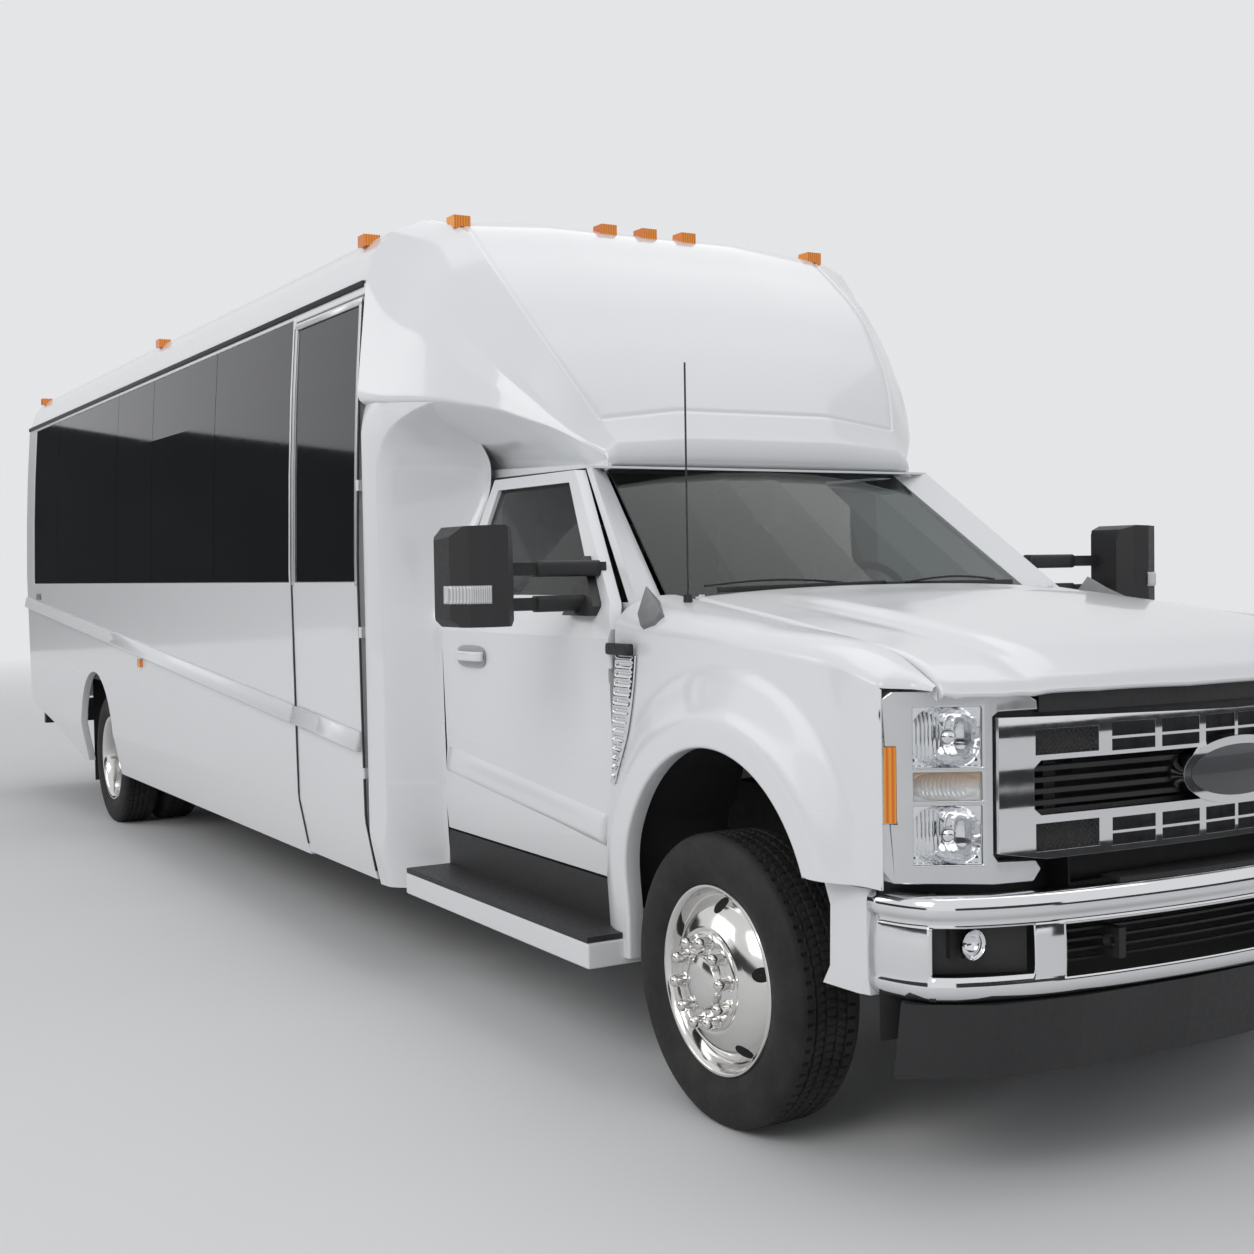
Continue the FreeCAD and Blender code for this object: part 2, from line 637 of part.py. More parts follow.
# The cap's half sections from the front of the body to the nose: how far behind
# the front axle, then the half width and height of the underside, lower edge,
# side, upper side, ridge, front panel's edge and crown.
CAP_SECTIONS = (
    (2112, (760, 1990), (1236, 2200), (1190, 2650), (1150, 2770), (1082, 2850), (940, 2908), (500, 2938)),
    (1982, (750, 1984), (1203, 2188), (1150, 2500), (1075, 2690), (968, 2788), (841, 2866), (420, 2893)),
    (1817, (738, 1973), (1138, 2177), (1095, 2410), (1040, 2555), (968, 2647), (831, 2739), (415, 2766)),
    (1704, (730, 1965), (1080, 2167), (1047, 2330), (1005, 2440), (945, 2520), (828, 2643), (414, 2670)),
    (1601, (720, 1956), (1015, 2146), (992, 2255), (960, 2340), (917, 2400), (815, 2541), (408, 2569)),
    (1503, (710, 1946), (950, 2122), (934, 2190), (915, 2245), (882, 2288), (786, 2425), (393, 2456)),
    (1417, (703, 1936), (880, 2084), (870, 2125), (856, 2160), (837, 2183), (757, 2318), (378, 2350)),
    (1330, (697, 1927), (806, 2043), (802, 2058), (796, 2072), (785, 2087), (711, 2189), (356, 2226)),
    (1251, (690, 1918), (728, 1985), (727, 1990), (726, 1995), (724, 1999), (655, 2060), (330, 2100)),
    (1200, (660, 1930), (676, 1942), (675, 1950), (674, 1957), (670, 1965), (628, 1995), (314, 2018)),
)


def cap_section(station, half):
    """A closed section through mirrored half widths and heights."""
    right = [(station, -y, z) for y, z in half]
    left = [(station, y, z) for y, z in reversed(half)]
    return right + left


def front_cap():
    """The fibreglass cap: the nose over the cab and the posts beside it."""
    wall = float(d.wall_thickness)
    rear = float(body_front)
    axle = float(d.front_axle_x)
    outer = loft([cap_section(axle - behind, half) for behind, *half in CAP_SECTIONS])
    inner_rows = []
    for behind, bottom, edge, side, upper, ridge, panel, crown in CAP_SECTIONS[:7]:
        half = [(bottom[0] - 20, bottom[1] + 25), (edge[0] - wall, edge[1] - 4), (side[0] - wall, side[1] - 12),
                (upper[0] - wall, upper[1] - 25), (ridge[0] - wall, ridge[1] - 0.8 * wall),
                (panel[0] - wall / 2, panel[1] - 1.3 * wall), (crown[0], crown[1] - 1.3 * wall)]
        inner_rows.append((axle - behind, half))
    first = inner_rows[0][1]
    inner_rows = [(rear - 60, first), (rear + 60, first)] + inner_rows[1:]
    shell = outer.cut(loft([cap_section(station, half) for station, half in inner_rows]))
    posts = []
    full = float(d.body_half_width)
    cab_side = float(d.cab_half_width)
    front = axle - float(d.cab_door_rear) - float(d.seam)
    # height, half width at the cab door's edge, half width of the body behind it
    levels = [
        (float(d.skirt_bottom), cab_side - 30, float(d.sill_half_width)),
        (600, cab_side - 14, full - 12),
        (1330, cab_side, full - 4),
        (float(d.cab_belt), cab_side - 50, full - 2),
        (float(d.cab_roof) - 60, cab_side - 218, full - 4),
        (2205, cab_side + 84, full - 4),
    ]
    for side in (-1, 1):
        plan = []
        for height, edge, half in levels:
            width = half - edge
            corners = [
                (rear, half), (front - 190, half - 4), (front - 135, edge + 0.8 * width), (front - 65, edge + 0.25 * width),
                (front, edge), (front, edge - wall), (front - 95, edge + 0.25 * width - 0.7 * wall),
                (front - 175, edge + 0.8 * width - 0.9 * wall), (rear, half - wall),
            ]
            plan.append([(x, y * side, height) for x, y in corners])
        posts.append(loft(plan))
    moulding = feature("cap", shell.fuse(posts).removeSplitter())
    hinge = door_hinge_fixed("entry", ahead(-d.door_front) + 14, -d.body_half_width + 4, ENTRY_HINGES, body_front + 8, -1)
    return piece("front_cap", fuse("cap_hinged", [moulding] + hinge))


def entry():
    """The passenger door leaf with its tall pane, and the steps inside it."""
    front = ahead(-d.door_front)
    rear = ahead(-d.door_rear)
    section = wall_section(0, d.wall_thickness, -1)
    leaf = profile("entry_leaf", "YZ", section, rear, front)
    low, high = wall_span(-1)
    clip = box("entry_clip", (rear - 10, low, d.door_bottom), (front + 10, high, d.door_top))
    window = box("entry_window", (rear + 60, low, d.window_bottom + 20), (front - 60, high, d.door_top - 60))
    seat = common("entry_glass_seat", profile("entry_recess", "YZ", wall_section(-20, 10, -1), rear + 25, front - 25),
                  box("entry_glass_band", (rear, low, d.window_bottom), (front, high, d.door_top - 25)))
    door = cut("entry_door_cut", common("entry_trim", leaf, clip), [window, seat])
    parts, bores = door_hinge_moving("entry", front + 14, -d.body_half_width + 4, ENTRY_HINGES, front - 6, -1, 34)
    piece("entry_door", cut("entry_door_bored", fuse("entry_door_hinged", [door] + parts), bores))
    pane = profile("entry_pane", "YZ", wall_section(4, 10, -1), rear + 28, front - 28)
    pane_clip = box("entry_pane_clip", (rear, low, d.window_bottom + 3), (front, high, d.door_top - 28))
    piece("entry_door_glass", common("entry_glass", pane, pane_clip))


def entry_steps():
    """Three treads with risers between two cheeks, hung under the floor."""
    front = ahead(-d.door_front)
    rear = ahead(-d.door_rear)
    treads = []
    inner = STEP_INNER
    outer_y = -(d.body_half_width - 122)
    step_rise = (d.floor_top - 400) / 3
    for number in range(3):
        high = 400 + step_rise * number
        treads.append(box(f"tread_{number}", (rear + 50, outer_y + 190 * number, high - 40),
                          (front - 20, inner, high)))
        treads.append(box(f"riser_{number}", (rear + 50, outer_y + 190 * number + 170, high - 40),
                          (front - 20, outer_y + 190 * (number + 1), high + step_rise)))
    cheeks = [box("cheek_rear", (rear + 42, outer_y, 360), (rear + 50, inner, d.floor_top)),
              box("cheek_front", (front - 20, outer_y, 360), (front - 12, inner, d.floor_top))]
    return fuse("steps", treads + cheeks)


def cab():
    """The cab: floor, sills, firewall, roof, pillars and windscreen."""
    axle = float(d.front_axle_x)
    inside = d.cab_half_width - d.cab_door_thickness - 20
    floor_low = d.cab_floor_top - 40
    floor = box("cab_floor", (body_front, -inside, floor_low), (ahead(-620), inside, d.cab_floor_top))
    cowl_top = d.hood_hinge_height - 12
    cowl_low = cowl_top - 40
    firewall = box("firewall", (ahead(-680), -inside, d.cab_floor_top), (ahead(-620), inside, cowl_low))
    cowl = box("cowl", (ahead(-720), -912, cowl_low), (ahead(-605), 912, cowl_top))
    vent = box("cowl_vent", (ahead(-605), -768, cowl_low), (ahead(-490), 768, cowl_top))
    roof_line = [(body_front, 1905), (body_front, 1942), (ahead(-1240), 1911), (ahead(-1176), 1905), (ahead(-1176), 1897),
                 (ahead(-1290), 1897)]
    roof = profile("cab_roof_panel", "XZ", roof_line, -756, 756)
    parts = [floor, firewall, cowl, vent, roof]
    for name, side in (("right", -1), ("left", 1)):
        low = [(axle - 602, 912 * side, 1440), (axle - 655, 912 * side, 1440), (axle - 700, 785 * side, 1440), (axle - 655, 785 * side, 1440)]
        high = [(axle - 1168, 752 * side, 1900), (axle - 1204, 752 * side, 1900), (axle - 1290, 645 * side, 1900), (axle - 1262, 645 * side, 1900)]
        parts.append(feature("pillar_" + name, loft([low, high])))
        low_y, high_y = span(side, inside - 45, inside)
        parts.append(box("cab_sill_" + name, (body_front, low_y, d.cab_door_bottom - 30), (ahead(-620), high_y, floor_low)))
        low_y, high_y = span(side, 660, 740)
        parts.append(box("rear_post_" + name, (body_front, low_y, d.cab_floor_top), (body_front + 60, high_y, 1906)))
        low_y, high_y = span(side, 735, 745)
        parts.append(box("hood_ear_" + name, (ahead(-508), low_y, cowl_top), (ahead(-489), high_y, d.hood_hinge_height + 10)))
        low_y, high_y = span(side, 742, 762)
        parts.append(rod("hood_pin_" + name, (ahead(-498), low_y, d.hood_hinge_height), d.hinge_pin_radius, high_y - low_y, "y"))
    piece("cab_shell", fuse("cab_body", parts))
    glass = []
    for x_edge, bow, half_width, height in ((-632, 130, 775, 1440), (-1240, 60, 640, 1897)):
        station = axle + x_edge
        count = 6
        outer = []
        inner = []
        for step in range(count + 1):
            y = -half_width + 2 * half_width * step / count
            x = station + bow * (1 - (y / half_width) ** 2)
            outer.append((x, y, height))
            inner.append((x - 9, y, height))
        glass.append(outer + inner[::-1])
    piece("windscreen", feature("windscreen_glass", loft(glass)))


def cab_door(name, side):
    """A front door: pressed lower panel, leaning window frame and its pane."""
    front = ahead(-d.cab_door_front) - d.seam
    rear = ahead(-d.cab_door_rear)
    top = d.cab_roof - 60
    thickness = d.cab_door_thickness
    outer = [(d.cab_half_width - 16, d.cab_door_bottom), (d.cab_half_width - 3, 720), (d.cab_half_width - 14, 880),
             (d.cab_half_width, 1330), (d.cab_half_width - 26, 1400), (966, d.cab_belt), (798, top)]
    inner = [(y - thickness if number < 4 else y - 42, z) for number, (y, z) in enumerate(outer)]
    section = [(length(y) * side, z) for y, z in outer + inner[::-1]]
    slab = profile("cab_door_slab_" + name, "YZ", section, rear, front)
    outline = [(front, d.cab_door_bottom), (front, 1360), (front - 60, 1432), (ahead(-1200), top), (rear + 30, top),
               (rear, d.cab_belt), (rear, d.cab_door_bottom)]
    low, high = span(side, d.cab_half_width - 316, d.cab_half_width + 84)
    trim = profile("cab_door_trim_" + name, "XZ", outline, low, high)
    opening = [(ahead(-905), d.cab_belt + 20), (ahead(-905), 1560), (ahead(-1215), top - 42),
               (rear + 90, top - 42), (rear + 90, d.cab_belt + 20)]
    window = profile("cab_window_" + name, "XZ", opening, low, high)
    parts, bores = door_hinge_moving("cab_" + name, ahead(-600), (d.cab_half_width - 4) * side, CAB_HINGES, ahead(-612), side)
    slots = []
    for number, height in enumerate(CAB_HINGES):
        slot_low, slot_high = span(side, d.cab_half_width - 36, d.cab_half_width + 14)
        slots.append(box(f"hinge_room_{name}_{number}", (ahead(-614), slot_low, height - 46), (front + 1, slot_high, height)))
    solid = cut("cab_door_cut_" + name, common("cab_door_form_" + name, slab, trim), [window] + slots)
    door = piece("cab_door_" + name, cut("cab_door_bored_" + name, fuse("cab_door_hinged_" + name, [solid] + parts), bores))
    pane_section = [(length(y) * side, z) for y, z in ((950, d.cab_belt + 20), (790, top - 42 + 20), (784, top - 42 + 20), (944, d.cab_belt + 20))]
    pane = profile("cab_pane_" + name, "YZ", pane_section, rear, front)
    clip = profile("cab_window_clip_" + name, "XZ", opening, low, high)
    glass = piece("cab_door_glass_" + name, common("cab_glass_" + name, pane, clip))
    mirror(name, side, [door, glass])


def mirror(name, side, carriers):
    """A tow mirror: rounded housing on two telescoping arms from the door."""
    outer = 1500
    low, high = span(side, outer - 210, outer)
    face = [(outer - 210, 1395), (outer - 190, 1378), (outer - 30, 1378), (outer, 1408), (outer, 1640),
            (outer - 35, 1680), (outer - 160, 1684), (outer - 200, 1668), (outer - 210, 1630)]
    plan = [(ahead(-834), outer - 205), (ahead(-834), outer - 10), (ahead(-815), outer), (ahead(-720), outer - 8),
            (ahead(-660), outer - 45), (ahead(-640), outer - 100), (ahead(-650), outer - 170), (ahead(-700), outer - 210)]
    front_view = profile("mirror_face_" + name, "YZ", [(length(y) * side, z) for y, z in face], ahead(-834), ahead(-640))
    top_view = profile("mirror_plan_" + name, "XY", [(x, length(y) * side) for x, y in plan], 1370, 1690)
    parts = [common("mirror_head_" + name, front_view, top_view)]
    for number, (height, root) in enumerate(((1420, 950), (1530, 910))):
        low, high = span(side, root, outer - 205)
        parts.append(box(f"mirror_arm_{name}_{number}", (ahead(-829), low, height), (ahead(-795), high, height + 40)))
    skin = [(d.cab_half_width - 26, 1400), (966, d.cab_belt), (910.5, 1590)]
    section = skin + [(y + 32, z) for y, z in reversed(skin)]
    foot = profile("mirror_foot_" + name, "YZ", [(length(y) * side, z) for y, z in section], ahead(-895), ahead(-720))
    low, high = span(side, d.cab_half_width - 166, d.cab_half_width + 84)
    sail = profile("mirror_sail_" + name, "XZ", [(ahead(-895), 1400), (ahead(-720), 1400), (ahead(-720), 1430), (ahead(-895), 1590)],
                   low, high)
    parts.append(common("mirror_plate_" + name, foot, sail))
    piece("mirror_" + name, cut("mirror_seated_" + name, fuse("mirror_body_" + name, parts), carriers))


def barrel(name, x, y, low, height):
    return rod(name, (x, y, low), d.hinge_barrel_radius, height, "z")


def door_hinge_fixed(name, x, y, heights, seat, side):
    """The fixed half of each hinge: lower barrel, leaf to its seat, and the pin."""
    parts = []
    for number, height in enumerate(heights):
        parts.append(barrel(f"fixed_barrel_{name}_{number}", x, y, height - 40, 39.5))
        leaf = sorted((y, y - 22 * side), key=float)
        ends = sorted((x, length(seat)), key=float)
        parts.append(box(f"fixed_leaf_{name}_{number}", (ends[0], leaf[0], height - 40), (ends[1], leaf[1], height - 0.5)))
        parts.append(rod(f"pin_{name}_{number}", (x, y, height - 40), d.hinge_pin_radius, 80, "z"))
    return parts


def door_hinge_moving(name, x, y, heights, seat, side, leaf_depth=22):
    """The door's half of each hinge: upper barrel and leaf, and its bore's cutter."""
    parts = []
    bores = []
    for number, height in enumerate(heights):
        parts.append(barrel(f"door_barrel_{name}_{number}", x, y, height, 41))
        leaf = sorted((y, y - leaf_depth * side), key=float)
        ends = sorted((x, length(seat)), key=float)
        parts.append(box(f"door_leaf_{name}_{number}", (ends[0], leaf[0], height), (ends[1], leaf[1], height + 41)))
        bores.append(rod(f"bore_{name}_{number}", (x, y, height - 1), d.hinge_pin_radius + d.running_gap, 50, "z"))
    return parts, bores


def hood_and_fenders():
    """The hood panel and the flared fender on each side of it."""
    axle = float(d.front_axle_x)
    gap = float(d.hood_gap)
    # station, seam half width and height, crease half width and height, crown height, depth
    hinge_height = float(d.hood_hinge_height)
    hood_rows = [
        (axle + 898, 170, 1256, 150, 1257, 1258, 7),
        (axle + 880, 480, 1258, 420, 1266, 1272, 8),
        (axle + 848, 760, 1258, 520, 1278, 1290, 8),
        (axle + 800, 925, 1259, 560, 1292, 1308, 8),
        (axle + 735, 910, 1292, 590, 1312, 1332, 20),
        (axle + 628, 880, 1322, 610, 1340, 1354, 30),
        (axle + 50, 822, 1398, 600, 1416, 1432, 35),
        (axle - 482, 775, hinge_height + 6, 560, hinge_height + 22, hinge_height + 34, 35),
    ]
    sections = []
    for station, seam_y, seam_z, crease_y, crease_z, crown, depth in hood_rows:
        half = [(seam_y, seam_z), (crease_y, crease_z), (crease_y * 0.9, crease_z + 0.6 * (crown - crease_z)), (crease_y * 0.35, crown)]
        outer = [(station, -y, z) for y, z in half] + [(station, y, z) for y, z in reversed(half)]
        inner = [(x, y * 0.985, z - depth) for x, y, z in reversed(outer)]
        sections.append(outer + inner)
    panel = feature("hood_panel", loft(sections))
    brackets = []
    bores = []
    for name, side in (("right", -1), ("left", 1)):
        low, high = span(side, 748, 758)
        brackets.append(box("hood_bracket_" + name, (ahead(-505), low, d.hood_hinge_height - 7),
                            (ahead(-470), high, d.hood_hinge_height + 7)))
        bores.append(rod("hood_bore_" + name, (ahead(-498), low - 5, d.hood_hinge_height), d.hinge_pin_radius + d.running_gap, 20, "y"))
    piece("hood", cut("hood_bored", fuse("hood_solid", [panel] + brackets), bores))

    def seam(station):
        """The hood's edge at a station, straight between the hood's sections."""
        rows = [(row[0], row[1], row[2]) for row in reversed(hood_rows)]
        for near, far in zip(rows[:-1], rows[1:]):
            if station <= far[0] or far is rows[-1]:
                share = (station - near[0]) / (far[0] - near[0])
                return near[1] + share * (far[1] - near[1]), near[2] + share * (far[2] - near[2])
    # station, flare half width, shoulder half width, shoulder height
    fender_rows = [
        (axle - 592, 1016, 1004, 1345),
        (axle - 482, 1018, 1004, 1340),
        (axle - 250, 1062, 1004, 1330),
        (axle + 50, 1080, 1002, 1310),
        (axle + 300, 1076, 992, 1300),
        (axle + 500, 1058, 985, 1290),
        (axle + 628, 1040, 978, 1275),
        (axle + 700, 1023, 974, 1252),
    ]
    fenders = []
    for name, side in (("right", -1), ("left", 1)):
        walls = []
        for station, flare, shoulder_y, shoulder_z in fender_rows:
            seam_y, seam_z = seam(station)
            outer = [(min(flare, 1030), 376), (flare - 6, 700), (flare, 1000), (flare - 22, 1170),
                     (shoulder_y, shoulder_z), (seam_y + gap, seam_z)]
            inner = [(y - 24, z - (30 if number == 4 else 0)) for number, (y, z) in enumerate(outer[:-1])]
            inner.append((seam_y + gap, seam_z - 30))
            walls.append([(station, y * side, z) for y, z in outer + inner[::-1]])
        skin = feature("fender_skin_" + name, loft(walls))
        low, high = span(side, 768, 800)
        flange = box("fender_flange_" + name, (ahead(-592), low, d.hood_hinge_height - 47), (ahead(-560), high, d.hood_hinge_height - 15))
        hinge = door_hinge_fixed("cab_" + name, ahead(-600), (d.cab_half_width - 4) * side, CAB_HINGES, ahead(-590), side)
        arch = arch_tool("front_" + name, side, ahead(20), d.arch_height, d.arch_radius)
        low, high = span(side, 700, 1400)
        nose = box("bumper_room_" + name, (ahead(440), low, 300), (ahead(900), high, d.bumper_top + 8))
        lamp = lamp_block("room_" + name, side, ahead(636))
        fenders.append(fuse("fender_" + name, [cut("fender_cut_" + name, skin, [arch, nose, lamp]), flange] + hinge))
    return piece("front_fenders", group("front_fender_pair", fenders))


def lamp_block(name, side, back):
    """The headlamp's C-shaped outline, seen from the front, as a block."""
    outer = [(1014, 812), (1014, 1222), (990, 1242), (707, 1240), (655, 1212), (652, 1189), (767, 1189), (787, 1176),
             (787, 850), (770, 828), (660, 823), (645, 802), (668, 772), (989, 780)]
    return profile("lamp_block_" + name, "YZ", [(length(y) * side, z) for y, z in outer], back, ahead(850))


def plan_arc(points, inset, height):
    """The bumper's plan line, pushed back by an inset, at one height."""
    return [(x - inset, y, height) for x, y in points]


def front_end():
    """Bumper, air dam, grille, headlamps and the closing panel behind them."""
    axle = float(d.front_axle_x)
    face = axle + float(d.bumper_face)
    top = float(d.bumper_top)
    bottom = float(d.bumper_bottom)
    half_plan = [(face - 474, 1010), (face - 341, 1004), (face - 200, 960), (face - 90, 780), (face - 28, 480), (face, 160)]
    plan = [(x, -y) for x, y in half_plan] + [(x, y) for x, y in reversed(half_plan)]
    back = [(x - 42, y * 0.955) for x, y in reversed(plan)]

    def ring(inset, height, shelf=0):
        return plan_arc(plan, inset, height) + plan_arc(back, shelf, height)

    shell = feature("bumper_shell", loft([ring(35, bottom), ring(4, bottom + 50), ring(0, top - 60), ring(26, top, 50)]))
    openings = [box("bumper_mouth", (ahead(600), -620, 545), (ahead(1100), 620, 672))]
    trims = []
    fog_lenses = []
    for name, side in (("right", -1), ("left", 1)):
        low, high = span(side, 705, 940)
        openings.append(box("fog_hole_" + name, (ahead(700), low, 560), (ahead(1100), high, 678)))
        bezel_plan = [(ahead(742), 940), (ahead(858), 705), (ahead(838), 705), (ahead(722), 940)]
        bezel = profile("fog_bezel_" + name, "XY", [(x, length(y) * side) for x, y in bezel_plan], 560, 678)
        lamp_room = rod("fog_room_" + name, (ahead(700), 840 * side, 635), 37.5, 200, "x")
        low, high = span(side, 805, 882)
        seat = box("fog_seat_" + name, (ahead(744), low, 600), (ahead(786), high, 670))
        trims.append(fuse("fog_insert_" + name, [cut("fog_bezel_open_" + name, bezel, [lamp_room]), seat]))
        fog_lenses.append(rod("fog_lens_" + name, (ahead(786), 840 * side, 635), 37, 36, "x"))
    end_room = box("bumper_end_room", (ahead(300), -1100, 400), (ahead(621), 1100, 800))
    ties = []
    for name, side in (("right", -1), ("left", 1)):
        low, high = span(side, rail_inner, rail_outer)
        ties.append(box("bumper_tie_" + name, (bumper_back, low, 690), (ahead(910), high, 740)))
    bumper = cut("bumper_open", shell, openings + [end_room])
    piece("front_bumper", fuse("bumper_body", [bumper] + ties))
    piece("bumper_ends", common("bumper_end_pair", shell, end_room))
    pad_plan = [(ahead(835), -430), (ahead(898), -430), (ahead(922), -160), (ahead(922), 160), (ahead(898), 430), (ahead(835), 430)]
    trims.append(profile("step_pad", "XY", pad_plan, d.bumper_top, d.bumper_top + 8))
    piece("bumper_trim", group("bumper_trim_set", trims))
    dam_half = [(face - 235, 985), (face - 105, 800), (face - 55, 560), (face - 30, 200)]
    dam_plan = [(x, -y) for x, y in dam_half] + [(x, y) for x, y in reversed(dam_half)]
    dam_back = [(x - 30, y * 0.97) for x, y in reversed(dam_plan)]
    dam = loft([plan_arc(dam_plan, 30, 305) + plan_arc(dam_back, 30, 305),
                plan_arc(dam_plan, 0, bottom) + plan_arc(dam_back, 0, bottom)])
    piece("air_dam", feature("dam", dam))

    def bowed(name, front, depth, half, low, high):
        """A band that follows the grille's bow, from low to high."""
        bow = ((781, 0), (664, 14), (445, 32), (265, 43), (117, 49))
        inner = [(y, x) for y, x in bow if y < half]
        (y_out, x_out), (y_in, x_in) = bow[len(bow) - len(inner) - 1], inner[0]
        edge = [(half, x_out + (x_in - x_out) * (y_out - half) / (y_out - y_in))]
        line = [(ahead(front + x), -y) for y, x in edge + inner] + [(ahead(front + x), y) for y, x in reversed(edge + inner)]
        return profile(name, "XY", line + [(x - depth, y) for x, y in reversed(line)], low, high)

    plate = bowed("grille_band", 848, 48, 781, 822, 1181)
    face_outline = [(-781, 850), (-640, 827), (640, 827), (781, 850), (781, 1176), (650, 1173), (0, 1160),
                    (-650, 1173), (-781, 1176)]
    frame = common("grille_frame", plate, profile("grille_outline", "YZ", face_outline, ahead(760), ahead(960)))
    slots = [profile("grille_mouth", "YZ", [(-678, 950), (-658, 934), (658, 934), (678, 950), (678, 1050), (658, 1067), (-658, 1067),
                                            (-678, 1050)], ahead(700), ahead(1000))]
    # half widths of each opening's sides, and the rows that it is cut in
    upper = ((842, 871), (878, 911), (1077, 1106), (1113, 1148))
    ends = ((846, 914), (1080, 1142))
    for number, (near, far, rows) in enumerate(((478, 674, ends), (293, 436, upper), (139, 270, upper), (6, 116, upper))):
        for row, (low, high) in enumerate(rows):
            for name, side in (("right", -1), ("left", 1)):
                y_low, y_high = span(side, near, far)
                slots.append(box(f"slot_{name}_{number}_{row}", (ahead(700), y_low, low), (ahead(1000), y_high, high)))
    badge = Part.Ellipse(vec(0, 0, 0), 214, 88).toShape()
    badge = Part.Face(Part.Wire(badge)).extrude(vec(0, 0, 42))
    badge.Placement = FreeCAD.Placement(vec(ahead(868), 0, 1002), FreeCAD.Rotation(vec(0, 1, 0), vec(0, 0, 1), vec(1, 0, 0), "ZXY"))
    piece("grille", fuse("grille_body", [cut("grille_cut", frame, slots), feature("blank_oval", badge)]))
    bars = []
    for number in range(4):
        height = 952 + number * 28
        bars.append(bowed(f"bar_{number}", 815, 20, 672, height, height + 12))
    backing = bowed("grille_backing", 800, 30, 764, 832, 1186)
    upper_panel = bowed("upper_panel", 818, 48, 636, 1180, 1240)
    window = box("core_window", (ahead(700), -640, 940), (ahead(900), 640, 1062))
    stand = []
    for name, side in (("right", -1), ("left", 1)):
        low, high = span(side, 560, 600)
        stand.append(box("shroud_foot_" + name, (ahead(640), low, rail_top + 50), (ahead(810), high, 1205)))
    core = box("radiator_core", (ahead(620), -380, rail_top + 50), (ahead(690), 380, 1170))
    piece("grille_core", fuse("grille_core_body", [cut("backing_cut", backing, [window]), upper_panel] + stand + bars + [core]))
    frames = []
    lenses = []
    lamp_markers = []
    cells = ((824, 966), (978, 1046), (1058, 1203))
    for name, side in (("right", -1), ("left", 1)):
        block = lamp_block(name, side, ahead(640))
        rake = [(ahead(853), 600), (ahead(833), 787), (ahead(741), 941), (ahead(694), 1014), (ahead(694), 1100), (ahead(960), 1100),
                (ahead(960), 600)]
        rake_cut = profile("lamp_rake_" + name, "XY", [(x, length(y) * side) for x, y in rake], 700, 1300)
        back = [(ahead(600), 600), (ahead(790), 600), (ahead(765), 787), (ahead(680), 930), (ahead(600), 960)]
        back_cut = profile("lamp_back_" + name, "XY", [(x, length(y) * side) for x, y in back], 700, 1300)
        pockets = []
        recessed = profile("lens_rake_" + name, "XY", [(x - 14, length(y) * side) for x, y in rake], 700, 1300)
        for number, (low, high) in enumerate(cells):
            y_low, y_high = span(side, 806, 948)
            pockets.append(box(f"lamp_pocket_{name}_{number}", (ahead(710), y_low, low), (ahead(900), y_high, high)))
            cover = box(f"lamp_cover_{name}_{number}", (ahead(710), y_low, low), (ahead(835), y_high, high))
            lenses.append(cut(f"lamp_lens_{name}_{number}", cover, [recessed]))
        marker_plan = [(ahead(691), 1004), (ahead(700), 1009.5), (ahead(716), 985.5), (ahead(706), 980)]
        marker_room = profile("lamp_marker_" + name, "XY", [(x, length(y) * side) for x, y in marker_plan], 926, 1109)
        lamp_markers.append(marker_room)
        frames.append(cut("lamp_frame_" + name, block, [rake_cut, back_cut, marker_room] + pockets))
    lenses += fog_lenses
    piece("headlamp_frames", group("headlamp_frame_pair", frames))
    piece("headlamp_lenses", group("headlamp_lens_pair", lenses))
    return lamp_markers


